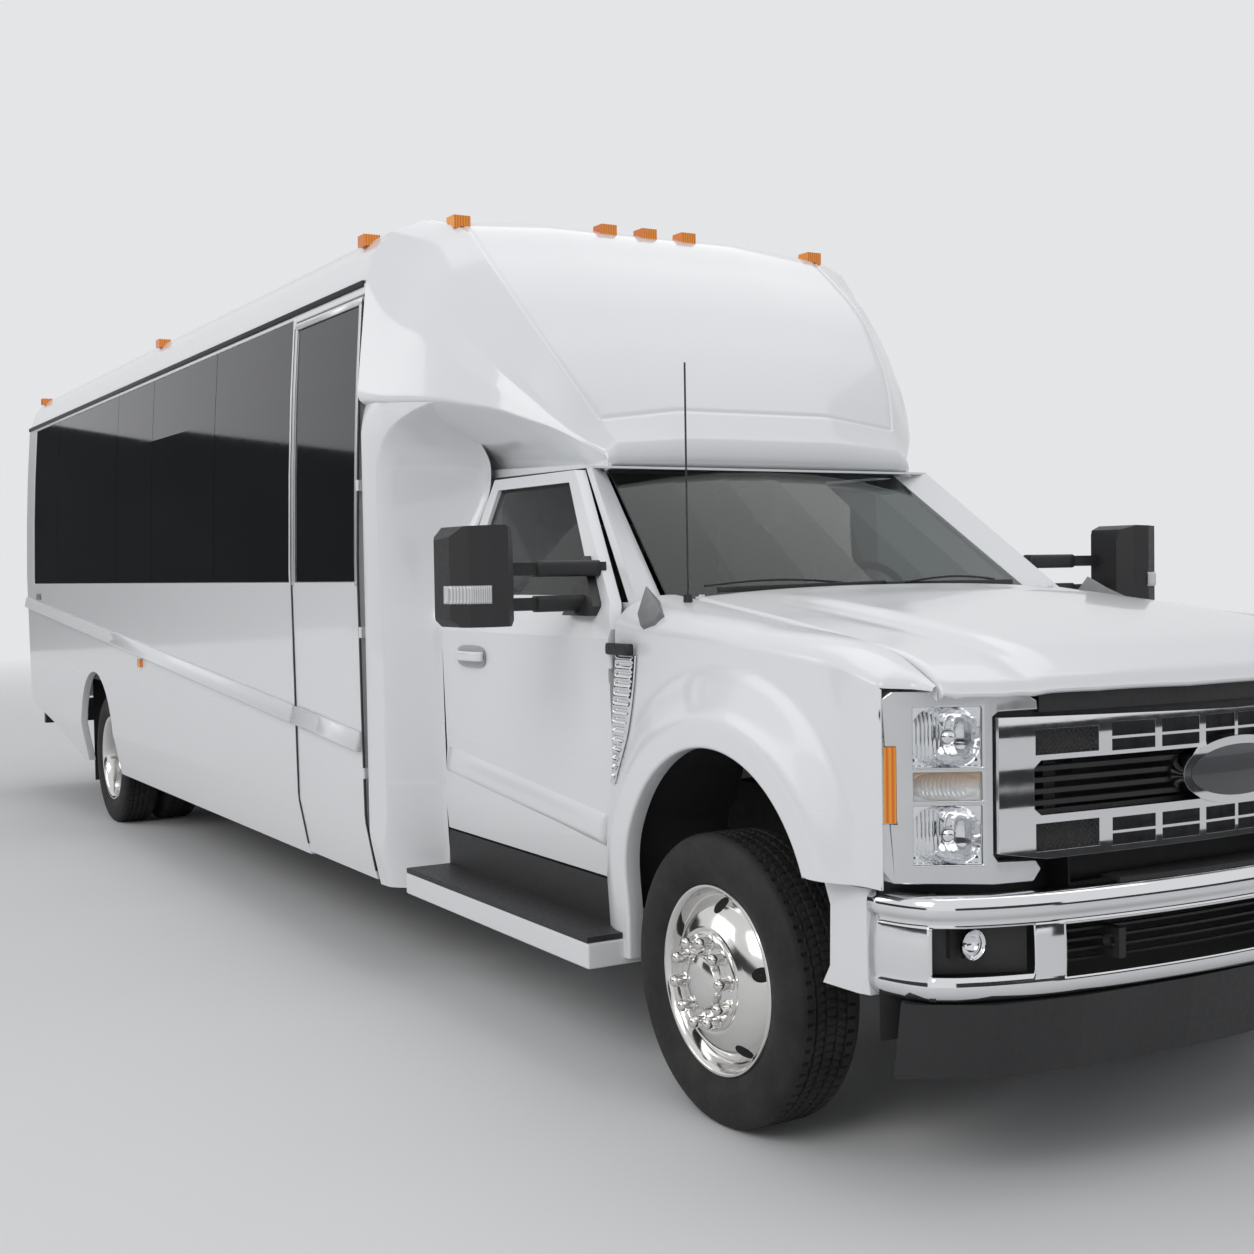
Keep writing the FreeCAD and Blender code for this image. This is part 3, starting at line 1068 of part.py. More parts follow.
def small_pieces(fenders, cap, lamp_markers):
    """Rockers, boards, seats, dash, lamps, flaps, aerial and rear bumper."""
    board_top = d.skirt_bottom + 100
    rockers = []
    boards = []
    for name, side in (("right", -1), ("left", 1)):
        low, high = span(side, 921, d.sill_half_width)
        rocker = box("rocker_" + name, (ahead(-d.cab_door_rear), low, d.skirt_bottom + 5), (ahead(-470), high, board_top - 18))
        rockers.append(cut("rocker_seated_" + name, rocker, [fenders]))
        low, high = span(side, 921, d.sill_half_width - 4)
        board = box("board_" + name, (ahead(-d.cab_door_rear), low, board_top - 18), (ahead(-480), high, board_top))
        low, high = span(side, 921, 1000)
        recess = box("recess_" + name, (ahead(-d.cab_door_rear), low, board_top), (ahead(-600), high, d.cab_door_bottom - 8))
        boards.append(cut("board_seated_" + name, fuse("board_body_" + name, [board, recess]), [fenders]))
    piece("rocker_panels", group("rocker_pair", rockers))
    piece("running_boards", group("board_pair", boards))
    dash = box("dash", (ahead(-1000), -900, 1080), (ahead(-680), 900, 1400))
    wheel_x = ahead(-1080)
    wheel_z = d.cab_floor_top + 460
    column = rod("column", (wheel_x, 420, wheel_z), 30, 120, "x")
    ring = doc.addObject("Part::Torus", "wheel_ring")
    ring.Placement = FreeCAD.Placement(FreeCAD.Vector(), FreeCAD.Rotation(FreeCAD.Vector(0, 1, 0), 75))
    ring.Radius1 = 190
    ring.Radius2 = 15
    place(ring, (wheel_x, 420, wheel_z))
    spoke = box("spoke", (wheel_x - 15, 420 - 190, wheel_z - 15), (wheel_x + 15, 420 + 190, wheel_z + 15))
    piece("dashboard", fuse("dash_and_wheel", [dash, ring, spoke, column]))
    cab_seats = []
    for name, y in (("right", -420), ("left", 420)):
        pad = box("cab_cushion_" + name, (ahead(-1700), y - 250, 1000), (ahead(-1180), y + 250, 1130))
        rest = box("cab_rest_" + name, (ahead(-1850), y - 250, 1000), (ahead(-1700), y + 250, 1750))
        post = box("cab_seat_post_" + name, (ahead(-1650), y - 200, d.cab_floor_top), (ahead(-1250), y + 200, 1000))
        cab_seats.append(fuse("cab_seat_" + name, [pad, rest, post]))
    piece("cab_seats", group("cab_seat_pair", cab_seats))
    seats = []
    rows = 7
    for row in range(rows):
        for name, y in (("right", -800), ("left", 800)):
            if row == 0 and name == "right":
                continue
            back = ahead(-3150 - 800 * row)
            pad = box(f"seat_pad_{row}_{name}", (back, y - 330, 1330), (back + 450, y + 330, 1420))
            rest = box(f"seat_rest_{row}_{name}", (back - 90, y - 330, 1330), (back, y + 330, 2060))
            foot = box(f"seat_foot_{row}_{name}", (back + 60, y - 250, d.floor_top), (back + 380, y + 250, 1330))
            seats.append(fuse(f"seat_{row}_{name}", [pad, rest, foot]))
    piece("passenger_seats", group("seat_set", seats))
    lamps = []
    for number, (y, drop) in enumerate(((-840, 88), (-190, 62), (0, 62), (190, 62), (840, 88))):
        lamps.append(box(f"cap_lamp_{number}", (ahead(-2060), y - 35, d.roof_height - drop),
                         (ahead(-1990), y + 35, d.roof_height - drop + 50)))
    piece("roof_lamps", cut("roof_lamps_seated", fuse("roof_lamp_set", lamps), [cap]))
    markers = list(lamp_markers)
    for name, side in (("right", -1), ("left", 1)):
        low, high = span(side, d.body_half_width - 6, d.body_half_width + 10)
        markers.append(box("side_marker_" + name, (ahead(-5580), low, 1040), (ahead(-5520), high, 1086)))
        for number, behind in enumerate((2323, 5447, 8767)):
            low, high = span(side, d.eaves_half_width - 134, d.eaves_half_width - 66)
            markers.append(box(f"edge_lamp_{name}_{number}", (ahead(-behind - 34), low, d.eaves_height + 178),
                               (ahead(-behind + 34), high, d.eaves_height + 222)))
    piece("marker_lamps", cut("marker_lamps_seated", group("marker_lamp_set", markers), [PIECES["roof"], PIECES["side_wall_right"],
                                                                                       PIECES["side_wall_left"]]))
    rear_lamps = []
    for side in (-1, 1):
        for number, height in enumerate((1180, 1360, 1540)):
            low, high = span(side, 980, 1100)
            rear_lamps.append(box(f"rear_lamp_{number}_{'l' if side > 0 else 'r'}", (body_rear - 14, low, height), (body_rear, high, height + 120)))
    piece("rear_lamps", group("rear_lamp_set", rear_lamps))
    bar = box("rear_bar", (body_rear - 70, -1130, 470), (body_rear - 12, 1130, 640))
    arms = [box("rear_arm_right", (body_rear - 68, -rail_outer, 580), (body_rear + 80, -rail_inner, d.rail_bottom)),
            box("rear_arm_left", (body_rear - 68, rail_inner, 580), (body_rear + 80, rail_outer, d.rail_bottom))]
    piece("rear_bumper", fuse("rear_bumper_body", [bar] + arms))
    flaps = []
    for side in (-1, 1):
        low, high = span(side, 650, 1130)
        flaps.append(box(f"flap_{'l' if side > 0 else 'r'}", (rear_axle_x - 520, low, 210), (rear_axle_x - 508, high, floor_bottom)))
    piece("mud_flaps", group("flap_pair", flaps))
    mast = rod("mast", (ahead(-425), -838, 1455), 3, 710, "z")
    foot = rod("mast_foot", (ahead(-425), -838, 1420), 14, 45, "z")
    piece("antenna", cut("antenna_seated", fuse("antenna_body", [mast, foot]), [fenders]))


chassis()
powertrain()
front_axle()
rear_axle()
side_panes = []
for side_name, side_sign in (("right", -1), ("left", 1)):
    knuckle(side_name, side_sign)
    front_wheel(side_name, side_sign)
    rear_wheels(side_name, side_sign)
    side_panes += side_wall(side_name, side_sign)
    cab_door(side_name, side_sign)
piece("side_glass", group("side_glass_set", side_panes))
body_shell()
cap_piece = front_cap()
entry()
cab()
fender_pair = hood_and_fenders()
lamp_marker_pair = front_end()
small_pieces(fender_pair, cap_piece, lamp_marker_pair)
doc.recompute()

for item in doc.Objects:
    if "Invalid" in item.State or "Error" in item.State:
        raise RuntimeError(f"{item.Name} failed: {item.State}")
for node, source in PIECES.items():
    shape = source.Shape
    if shape.isNull() or not shape.isValid() or not shape.Solids:
        raise RuntimeError(f"{node} has no valid solid")
    shape.exportStep(f"parts/{node}.step")
    print(node, len(shape.Solids), round(shape.Volume / 1e6, 2))
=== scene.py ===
import math

import bmesh
import bpy
import numpy as np
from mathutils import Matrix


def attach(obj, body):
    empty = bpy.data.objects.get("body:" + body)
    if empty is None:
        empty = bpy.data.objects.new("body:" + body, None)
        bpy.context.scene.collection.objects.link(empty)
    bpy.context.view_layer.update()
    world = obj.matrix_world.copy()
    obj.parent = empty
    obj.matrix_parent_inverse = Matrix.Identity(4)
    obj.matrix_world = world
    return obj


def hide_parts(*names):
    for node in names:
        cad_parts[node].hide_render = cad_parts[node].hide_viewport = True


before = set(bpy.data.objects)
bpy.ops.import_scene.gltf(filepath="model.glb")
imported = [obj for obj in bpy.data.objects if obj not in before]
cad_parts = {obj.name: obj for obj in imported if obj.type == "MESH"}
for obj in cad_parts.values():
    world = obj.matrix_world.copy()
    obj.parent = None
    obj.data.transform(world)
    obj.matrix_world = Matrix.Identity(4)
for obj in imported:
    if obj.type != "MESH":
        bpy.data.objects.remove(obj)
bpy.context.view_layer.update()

# The place the bus stands in: a seamless pale studio floor of plain painted board,
# large soft lamps, and the camera at the photograph's place and angle. Four dark
# cloths hang around the bus, where only metal and glass see them.


class Shade:
    """A shader value. Arithmetic on it adds Math nodes, and node() adds any other node."""

    def __init__(self, tree, socket):
        self.tree = tree
        self.socket = socket

    def node(self, kind, settings, inputs, output=0):
        added = self.tree.nodes.new(kind)
        for name, value in settings.items():
            setattr(added, name, value)
        for name, value in inputs.items():
            if isinstance(value, Shade):
                self.tree.links.new(value.socket, added.inputs[name])
            else:
                added.inputs[name].default_value = value
        return Shade(self.tree, added.outputs[output])

    def calculate(self, operation, first, second):
        return self.node("ShaderNodeMath", {"operation": operation}, {0: first, 1: second})

    def __add__(self, other):
        return self.calculate("ADD", self, other)

    def __rsub__(self, other):
        return self.calculate("SUBTRACT", other, self)

    def __mul__(self, other):
        return self.calculate("MULTIPLY", self, other)

    __radd__ = __add__
    __rmul__ = __mul__

    def between(self, low, high):
        """0 at low, 1 at high, clamped."""
        return self.node("ShaderNodeMapRange", {"clamp": True},
                         {"Value": self, "From Min": low, "From Max": high})

    def waves(self, count):
        """A sine of this many waves a metre, from 0 to 1."""
        return self.calculate("SINE", self * (2 * math.pi * count), 0.0) * 0.5 + 0.5

    def noise(self, scale, detail=3.0, stretch=(1.0, 1.0, 1.0)):
        """Even noise of about scale lumps a metre, narrowed along each axis by stretch."""
        place = self.node("ShaderNodeVectorMath", {"operation": "MULTIPLY"}, {0: self, 1: stretch})
        return self.node("ShaderNodeTexNoise", {}, {"Vector": place, "Scale": scale, "Detail": detail})

    def axis(self, name):
        return self.node("ShaderNodeSeparateXYZ", {}, {0: self}, name)

    def mix(self, first, second):
        """One colour at 0 and another at 1, with this value as the factor."""
        return self.node("ShaderNodeMix", {"data_type": "RGBA"}, {0: self, 6: first, 7: second}, 2)

    def bump(self, depth):
        """This height as a bump of that depth in metres."""
        return self.node("ShaderNodeBump", {}, {"Height": self, "Strength": 1.0, "Distance": depth}, "Normal")


def surface(name, numbers):
    """A new material with plain numbers on its Principled sockets, and its point on the object."""
    material = bpy.data.materials.new(name)
    material.use_nodes = True
    tree = material.node_tree
    for socket, value in numbers.items():
        tree.nodes["Principled BSDF"].inputs[socket].default_value = value
    place = tree.nodes.new("ShaderNodeTexCoord")
    return material, Shade(tree, place.outputs["Object"])


def feed(material, sockets):
    """Link varying values into the Principled sockets."""
    tree = material.node_tree
    for socket, value in sockets.items():
        tree.links.new(value.socket, tree.nodes["Principled BSDF"].inputs[socket])


def new_mesh(name, points, faces, body, material, crease=35.0):
    """A piece from its points and faces, riding on a body, in the given material.

    Its edges are sharp where the surface bends by more than crease degrees.
    """
    mesh = bpy.data.meshes.new(name)
    mesh.from_pydata(np.asarray(points, float).tolist(), [], np.asarray(faces).tolist())
    mesh.materials.append(material)
    mesh.polygons.foreach_set("use_smooth", [True] * len(mesh.polygons))
    mesh.set_sharp_from_angle(angle=math.radians(crease))
    mesh.update()
    piece = bpy.data.objects.new(name, mesh)
    bpy.context.scene.collection.objects.link(piece)
    if body:
        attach(piece, body)
    return piece


floor_paint, spot = surface("studio_floor",
                            {"Roughness": 0.6, "Specular IOR Level": 0.0, "Emission Strength": 1.0})
distance = spot.node("ShaderNodeVectorMath", {"operation": "LENGTH"}, {0: spot}, "Value")
far = distance.between(7.0, 26.0)
tone = spot.noise(0.6).mix((0.76, 0.76, 0.76, 1), (0.80, 0.80, 0.795, 1))
feed(floor_paint, {"Base Color": far.mix(tone, (0.0, 0.0, 0.0, 1)),
                   "Emission Color": far.mix((0.0, 0.0, 0.0, 1), (0.78, 0.785, 0.80, 1))})
floor = new_mesh("studio_ground", [(-300, -300, 0), (300, -300, 0), (300, 300, 0), (-300, 300, 0)],
                 [(0, 1, 2, 3)], None, floor_paint)

cloth_black, spot = surface("studio_cloth", {"Roughness": 0.9})
feed(cloth_black, {"Base Color": spot.noise(0.4).mix((0.02, 0.02, 0.022, 1), (0.05, 0.05, 0.055, 1))})
# name, place of the middle, half length, bottom and top height, heading of its length in degrees
for name, (x, y), half, bottom, top, heading in (("cloth_ahead", (16.0, -1.0), 5.0, 0.6, 3.6, 90.0),
                                                 ("cloth_left", (10.0, 4.5), 3.2, 0.04, 1.25, 118.0),
                                                 ("cloth_right", (1.0, -13.0), 9.0, 0.5, 3.4, 0.0),
                                                 ("cloth_behind", (-26.0, -10.5), 8.0, 0.0, 5.2, 90.0)):
    along = np.array((math.cos(math.radians(heading)), math.sin(math.radians(heading)))) * half
    cloth = new_mesh(name, [(x - along[0], y - along[1], bottom), (x + along[0], y + along[1], bottom),
                            (x + along[0], y + along[1], top), (x - along[0], y - along[1], top)],
                     [(0, 1, 2, 3)], None, cloth_black)
    cloth.visible_camera = False
    cloth.visible_diffuse = False
    cloth.visible_shadow = False

world = bpy.data.worlds.new("studio")
bpy.context.scene.world = world
world.use_nodes = True
backdrop = Shade(world.node_tree, world.node_tree.nodes.new("ShaderNodeLightPath").outputs["Is Camera Ray"])
path = backdrop.socket.node
seen = backdrop + Shade(world.node_tree, path.outputs["Is Glossy Ray"]) + Shade(
    world.node_tree, path.outputs["Is Transmission Ray"])
glow = seen.between(0.0, 1.0).mix((0.46, 0.47, 0.49, 1), (0.78, 0.785, 0.80, 1))
world.node_tree.links.new(glow.socket, world.node_tree.nodes["Background"].inputs["Color"])

lamp_table = (
    # name, place, aims at, width, height, watts
    ("key", (9.0, -11.0, 9.5), (2.0, -0.5, 1.0), 8.0, 6.0, 500),
    ("side", (-6.0, -13.0, 7.5), (-2.5, -1.0, 1.4), 10.0, 5.0, 260),
    ("top", (0.0, 3.0, 12.0), (0.0, 0.0, 1.0), 15.0, 11.0, 400),
)
for name, place, aim, width, height, watts in lamp_table:
    lamp = bpy.data.lights.new(name, "AREA")
    lamp.shape = "RECTANGLE"
    lamp.size = width
    lamp.size_y = height
    lamp.energy = watts
    holder = bpy.data.objects.new(name, lamp)
    back = np.array(place, float) - np.array(aim, float)
    back /= np.linalg.norm(back)
    across = np.cross((0, 0, 1), back)
    across /= np.linalg.norm(across)
    turn = np.eye(4)
    turn[:3, :3] = np.stack([across, np.cross(back, across), back], axis=1)
    turn[:3, 3] = place
    holder.matrix_world = turn.T
    bpy.context.scene.collection.objects.link(holder)

view_place = np.array((7.7211, -3.4777, 1.5405))
yaw, pitch, roll = (math.radians(angle) for angle in (149.63, -2.0, -0.92))
ahead_way = np.array((math.cos(yaw) * math.cos(pitch), math.sin(yaw) * math.cos(pitch), math.sin(pitch)))
level = np.cross(ahead_way, (0, 0, 1))
level /= np.linalg.norm(level)
upright = np.cross(level, ahead_way)
to_right = level * math.cos(roll) + upright * math.sin(roll)
to_top = upright * math.cos(roll) - level * math.sin(roll)
pose = np.eye(4)
pose[:3, :3] = np.stack([to_right, to_top, -ahead_way], axis=1)
pose[:3, 3] = view_place
lens = bpy.data.cameras.new("photograph_view")
lens.lens = 46.43
lens.sensor_width = 36.0
camera = bpy.data.objects.new("photograph_view", lens)
camera.matrix_world = pose.T
bpy.context.scene.collection.objects.link(camera)
bpy.context.scene.camera = camera
bpy.context.scene.view_settings.view_transform = "Standard"

# Frame rails, axles, springs and engine: pressed and cast steel under black
# chassis paint, dusty and a little uneven. These are the CAD solids, bolted
# together as they stand, with the finish laid on their own slots.


def dress(names, material):
    """Give CAD nodes a material in their own slots."""
    for name in names:
        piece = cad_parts[name]
        if not piece.material_slots:
            piece.data.materials.append(material)
        for slot in piece.material_slots:
            slot.material = material


frame_paint, spot = surface("chassis_paint", {"IOR": 1.5})
feed(frame_paint, {
    "Base Color": spot.noise(12.0, 6.0).mix((0.012, 0.012, 0.012, 1), (0.04, 0.037, 0.034, 1)),
    "Roughness": spot.noise(30.0, 6.0).between(0.2, 0.8) * 0.3 + 0.5,
    "Normal": spot.noise(120.0, 4.0).bump(0.0008),
})
dress(["chassis_frame", "cross_members", "floor_sills", "tow_hooks", "engine_block", "driveline",
       "front_axle", "rear_axle", "knuckle_right", "knuckle_left"], frame_paint)

# Tyres, six of them, twin at the rear: moulded rubber with a flat highway tread of
# five ribs, zigzag grooves and cross cuts, rounded shoulders and a bead ring. Each
# sits on its rim and turns with the wheel.


def drawn(known, values, wanted):
    """Values at the wanted places on a smooth line through the known ones.

    Each run is a cubic that leaves and arrives at the slope that its two
    neighbours have between them.
    """
    known = np.asarray(known, float)
    values = np.asarray(values, float)
    wanted = np.asarray(wanted, float)
    slope = np.gradient(values, known, axis=0)
    run = np.clip(np.searchsorted(known, wanted, "right") - 1, 0, len(known) - 2)
    width = known[run + 1] - known[run]
    share = (wanted - known[run]) / width
    tail = (slice(None),) + (None,) * (values.ndim - 1)
    share, width = share[tail], width[tail]
    return ((1 + 2 * share) * (1 - share) ** 2 * values[run] + share * (1 - share) ** 2 * width * slope[run]
            + share ** 2 * (3 - 2 * share) * values[run + 1]
            + share ** 2 * (share - 1) * width * slope[run + 1])


def grid_faces(rows, columns, wrap_rows=False, wrap_columns=False):
    """Four-cornered faces between the points of a grid, joined round at either pair of edges."""
    row = np.arange(rows if wrap_rows else rows - 1)
    column = np.arange(columns if wrap_columns else columns - 1)
    a, b = np.meshgrid(row, column, indexing="ij")
    c, e = (a + 1) % rows, (b + 1) % columns
    corners = [a * columns + b, c * columns + b, c * columns + e, a * columns + e]
    return np.stack(corners, axis=-1).reshape(-1, 4)


def sheet(name, grid, body, material, crease=35.0, flip=False, wrap_rows=False, wrap_columns=False):
    """A piece from a grid of points, joined round at either pair of edges, its faces turned over by flip."""
    faces = grid_faces(*grid.shape[:2], wrap_rows, wrap_columns)
    if flip:
        faces = faces[:, ::-1]
    return new_mesh(name, grid.reshape(-1, 3), faces, body, material, crease)


def spun(outline, count, centre, side):
    """A ring: each (radius, width) of an outline is carried round the cross axis through centre."""
    outline = np.asarray(outline, float)
    angle = np.linspace(0, 2 * np.pi, count, endpoint=False)[:, None]
    radius, width = outline[..., 0], outline[..., 1]
    return np.stack([centre[0] + radius * np.cos(angle), centre[1] + side * width + 0 * angle,
                     centre[2] + radius * np.sin(angle)], axis=-1)


def tyre(name, centre, side, body, count, stand_for):
    """A tyre: bead, sidewall, shoulder and tread, carried round, with the tread cut in by a depth.

    The depth is 9 mm in four zigzag grooves, 5 mm in the cross cuts of the ribs and
    7 mm in those of the shoulders. A cut takes whole rows of points, one in four or
    one in six, so that its sides stay sharp.
    """
    half = [(0.250, 0.086), (0.262, 0.088), (0.268, 0.094), (0.285, 0.1015), (0.300, 0.1075), (0.328, 0.1125),
            (0.352, 0.1115), (0.375, 0.106), (0.391, 0.0995), (0.4005, 0.0905), (0.4042, 0.079)]
    outer = drawn(np.arange(len(half)), half, np.linspace(0, len(half) - 1, 16))
    tread_radius = 0.405
    tread_width = np.linspace(0.077, -0.077, 57)
    tread = np.stack([np.full(len(tread_width), tread_radius), tread_width], axis=1)
    section = np.concatenate([outer, tread, outer[::-1] * (1, -1), [(0.252, -0.07), (0.252, 0.07)]])
    angle = np.linspace(0, 2 * np.pi, count, endpoint=False)[:, None]
    radius, width = section[None, :, 0], section[None, :, 1]
    zigzag = 0.0022 * np.abs((angle * 60 / np.pi) % 2 - 1)
    worn = np.zeros((count, len(section)))
    on_tread = np.abs(width) < 0.0775
    half_groove = 0.0034
    for groove in (-0.0475, -0.0165, 0.0165, 0.0475):
        worn = np.maximum(worn, 0.009 * (np.abs(width - groove - zigzag * np.sign(groove)) < half_groove))
    row = np.arange(count)[:, None]
    worn = np.maximum(worn, 0.005 * ((row / 4 + 14 * np.abs(width)) % 1.0 < 0.25) * (np.abs(width) < 0.047))
    worn = np.maximum(worn, 0.007 * (row % 6 == 0) * (np.abs(width) > 0.055))
    ring = 0.0012 * (np.exp(-((radius - 0.3) / 0.0025) ** 2) + np.exp(-((radius - 0.378) / 0.002) ** 2))
    carved = np.stack([radius - worn * on_tread, width + ring * np.sign(width) + 0 * angle], axis=-1)
    piece = sheet(name, spun(carved, count, centre, side), body, rubber, 50.0, side > 0, True, True)
    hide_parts(stand_for)


rubber, spot = surface("tyre_rubber", {"IOR": 1.5, "Specular IOR Level": 0.35})
feed(rubber, {
    "Base Color": spot.noise(9.0, 6.0).between(0.3, 0.75).mix((0.012, 0.012, 0.012, 1),
                                                              (0.032, 0.031, 0.029, 1)),
    "Roughness": spot.noise(50.0).between(0.2, 0.8) * 0.15 + 0.62,
    "Normal": spot.noise(500.0, 3.0).bump(0.0003),
})
front_axle_x = 4.010
rear_axle_x = -2.770
axle_height = 0.405
for side_name, side in (("right", -1), ("left", 1)):
    tyre("front_tread_" + side_name, (front_axle_x, 0.944 * side, axle_height), side,
         "front_wheel_" + side_name, 420, "front_tyre_" + side_name)
    tyre("rear_tread_outer_" + side_name, (rear_axle_x, 1.037 * side, axle_height), side,
         "rear_wheels_" + side_name, 420, "rear_tyres_" + side_name)
    tyre("rear_tread_inner_" + side_name, (rear_axle_x, 0.776 * side, axle_height), side,
         "rear_wheels_" + side_name, 216, "rear_tyres_" + side_name)

# Wheels: steel rims behind spun stainless covers, domed in front and deep dished at
# the rear, with ten capped lug nuts, five hand holes drawn as flat discs of painted
# shade, and a hub cap. Polished, with a trace of brake dust, and bolted to the hubs.

polished, spot = surface("polished_cover", {"Metallic": 1.0})
feed(polished, {
    "Base Color": spot.noise(5.0, 4.0).between(0.3, 0.8).mix((0.70, 0.69, 0.67, 1), (0.82, 0.81, 0.79, 1)),
    "Roughness": spot.noise(22.0, 5.0).between(0.3, 0.8) * 0.10 + 0.09,
    "Normal": spot.noise(3.0, 1.0).bump(0.004),
})
# The hand holes are flat near-black discs on the covers: painted shade in place of the open holes.
hand_hole_shade, spot = surface("hand_hole_shadow", {"Roughness": 0.9})
feed(hand_hole_shade, {"Base Color": spot.noise(30.0).mix((0.004, 0.004, 0.004, 1), (0.012, 0.012, 0.012, 1))})

domed = [(0.0, 0.152), (0.030, 0.151), (0.055, 0.148), (0.070, 0.142), (0.076, 0.134), (0.078, 0.124),
         (0.084, 0.1215), (0.100, 0.121), (0.128, 0.121), (0.134, 0.1185), (0.137, 0.1155), (0.141, 0.1165),
         (0.147, 0.1165), (0.152, 0.1140), (0.168, 0.108), (0.186, 0.099), (0.203, 0.086), (0.216, 0.072),
         (0.224, 0.062), (0.229, 0.059), (0.234, 0.061), (0.239, 0.070), (0.244, 0.084), (0.249, 0.0925),
         (0.256, 0.0975), (0.262, 0.0975), (0.2645, 0.0935), (0.2635, 0.088), (0.262, 0.0865),
         (0.2495, 0.0865), (0.2495, -0.0865), (0.262, -0.0865), (0.262, -0.096), (0.228, -0.096),
         (0.226, 0.030), (0.180, 0.040), (0.110, 0.0), (0.110, -0.060), (0.0305, -0.060)]
dished = [(0.0, 0.046), (0.050, 0.044), (0.080, 0.040), (0.089, 0.032), (0.092, 0.020), (0.095, -0.050),
          (0.098, -0.084), (0.104, -0.0885), (0.134, -0.0885), (0.139, -0.0915), (0.143, -0.0945),
          (0.149, -0.094), (0.156, -0.0945), (0.176, -0.0950), (0.190, -0.091), (0.199, -0.082),
          (0.206, -0.060), (0.216, 0.0), (0.227, 0.055), (0.233, 0.075), (0.240, 0.087), (0.248, 0.094),
          (0.256, 0.0975), (0.262, 0.0975), (0.2645, 0.0935), (0.2635, 0.088), (0.262, 0.0865),
          (0.2495, 0.0865), (0.2495, -0.0865), (0.262, -0.0865), (0.262, -0.096), (0.240, -0.096),
          (0.240, -0.165), (0.262, -0.165), (0.262, -0.1745), (0.2495, -0.1745), (0.2495, -0.3475),
          (0.262, -0.3475), (0.262, -0.357), (0.225, -0.357), (0.225, -0.150), (0.120, -0.150),
          (0.120, -0.190), (0.0455, -0.190)]
nut_outline = [(0.0, 0.048), (0.009, 0.047), (0.014, 0.043), (0.0165, 0.036), (0.0172, 0.024),
               (0.0178, 0.006), (0.022, 0.0035), (0.0225, -0.002), (0.016, -0.002)]
for side_name, side in (("right", -1), ("left", 1)):
    # name, outline, centre, seat of the nuts, body, reach of the hand holes
    for name, outline, place, seat, node, reach in (
            ("front_cover_", domed, (front_axle_x, 0.944 * side, axle_height), 0.121, "front_wheel_", 0.209),
            ("rear_cover_", dished, (rear_axle_x, 1.037 * side, axle_height), -0.0885,
             "rear_wheels_", 0.178)):
        cover = sheet(name + side_name, spun(outline, 128, place, side), node + side_name, polished,
                      28.0, side < 0, True)
        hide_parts(node + side_name)
        nut_circle = 0.113
        nut_sides = 16
        nuts = []
        for number in range(10):
            angle = math.radians(36 * number + 9)
            centre = (place[0] + nut_circle * math.cos(angle), place[1] + side * seat,
                      place[2] + nut_circle * math.sin(angle))
            nuts.append(spun(nut_outline, nut_sides, centre, side).reshape(-1, 3))
        nut_faces = np.concatenate([grid_faces(nut_sides, len(nut_outline), True) + number * len(nuts[0])
                                    for number in range(10)])
        new_mesh("lug_nuts_" + name + side_name, np.concatenate(nuts),
                 nut_faces[:, ::-1] if side < 0 else nut_faces, node + side_name, polished,
                 40.0)
        # discs of painted shade, 20 mm in radius, laid 1.2 mm proud of each cover at the hand holes
        line = np.array(outline)
        front = line[:np.argmax(line[:, 0])]
        ring, size = np.meshgrid(np.linspace(0, 2 * np.pi, 24, endpoint=False),
                                 (0.020, 0.015, 0.010, 0.005, 0.0004), indexing="ij")
        radius = reach + size * np.cos(ring)
        width = np.interp(radius, front[:, 0], front[:, 1]) + 0.0012
        holes = []
        for number in range(5):
            turn_by = math.radians(72 * number + 15) + size * np.sin(ring) / reach
            holes.append(np.stack([place[0] + radius * np.cos(turn_by), place[1] + side * width,
                                   place[2] + radius * np.sin(turn_by)], axis=-1).reshape(-1, 3))
        hole_faces = np.concatenate([grid_faces(*ring.shape, True) + number * ring.size
                                     for number in range(5)])
        new_mesh("painted_shade_hand_holes_" + name + side_name, np.concatenate(holes),
                 hole_faces[:, ::-1] if side > 0 else hole_faces, node + side_name, hand_hole_shade)

# Body: steel-framed sides skinned in white sheet with a raised moulding that climbs
# to the rear, a fibreglass roof and rear wall. The panels are the CAD solids with
# their edges eased, bonded and riveted to the frame.


def eased_copy(node, width, body, material, steps=3, angle=28.0):
    """The CAD node's own solid, its flat triangles joined into faces and its sharp edges eased by width."""
    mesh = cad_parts[node].data.copy()
    shape = bmesh.new()
    shape.from_mesh(mesh)
    bmesh.ops.remove_doubles(shape, verts=shape.verts, dist=0.00002)
    bmesh.ops.dissolve_limit(shape, angle_limit=math.radians(0.6), verts=shape.verts, edges=shape.edges)
    limit = math.radians(angle)
    sharp = [edge for edge in shape.edges if len(edge.link_faces) == 2 and edge.calc_face_angle(0.0) > limit]
    bmesh.ops.bevel(shape, geom=sharp, offset=width, segments=steps, profile=0.5, affect="EDGES",
                    clamp_overlap=True)
    bmesh.ops.dissolve_degenerate(shape, edges=shape.edges, dist=0.00001)
    eased = bpy.data.meshes.new(node + "_eased")
    for face in shape.faces:
        face.smooth = True
    for edge in shape.edges:
        edge.smooth = len(edge.link_faces) == 2 and edge.calc_face_angle(0.0) < limit
    shape.to_mesh(eased)
    shape.free()
    eased.materials.append(material)
    piece = bpy.data.objects.new(node + "_panel", eased)
    bpy.context.scene.collection.objects.link(piece)
    harden = piece.modifiers.new("even_normals", "WEIGHTED_NORMAL")
    harden.keep_sharp = True
    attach(piece, body)
    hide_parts(node)
    return piece


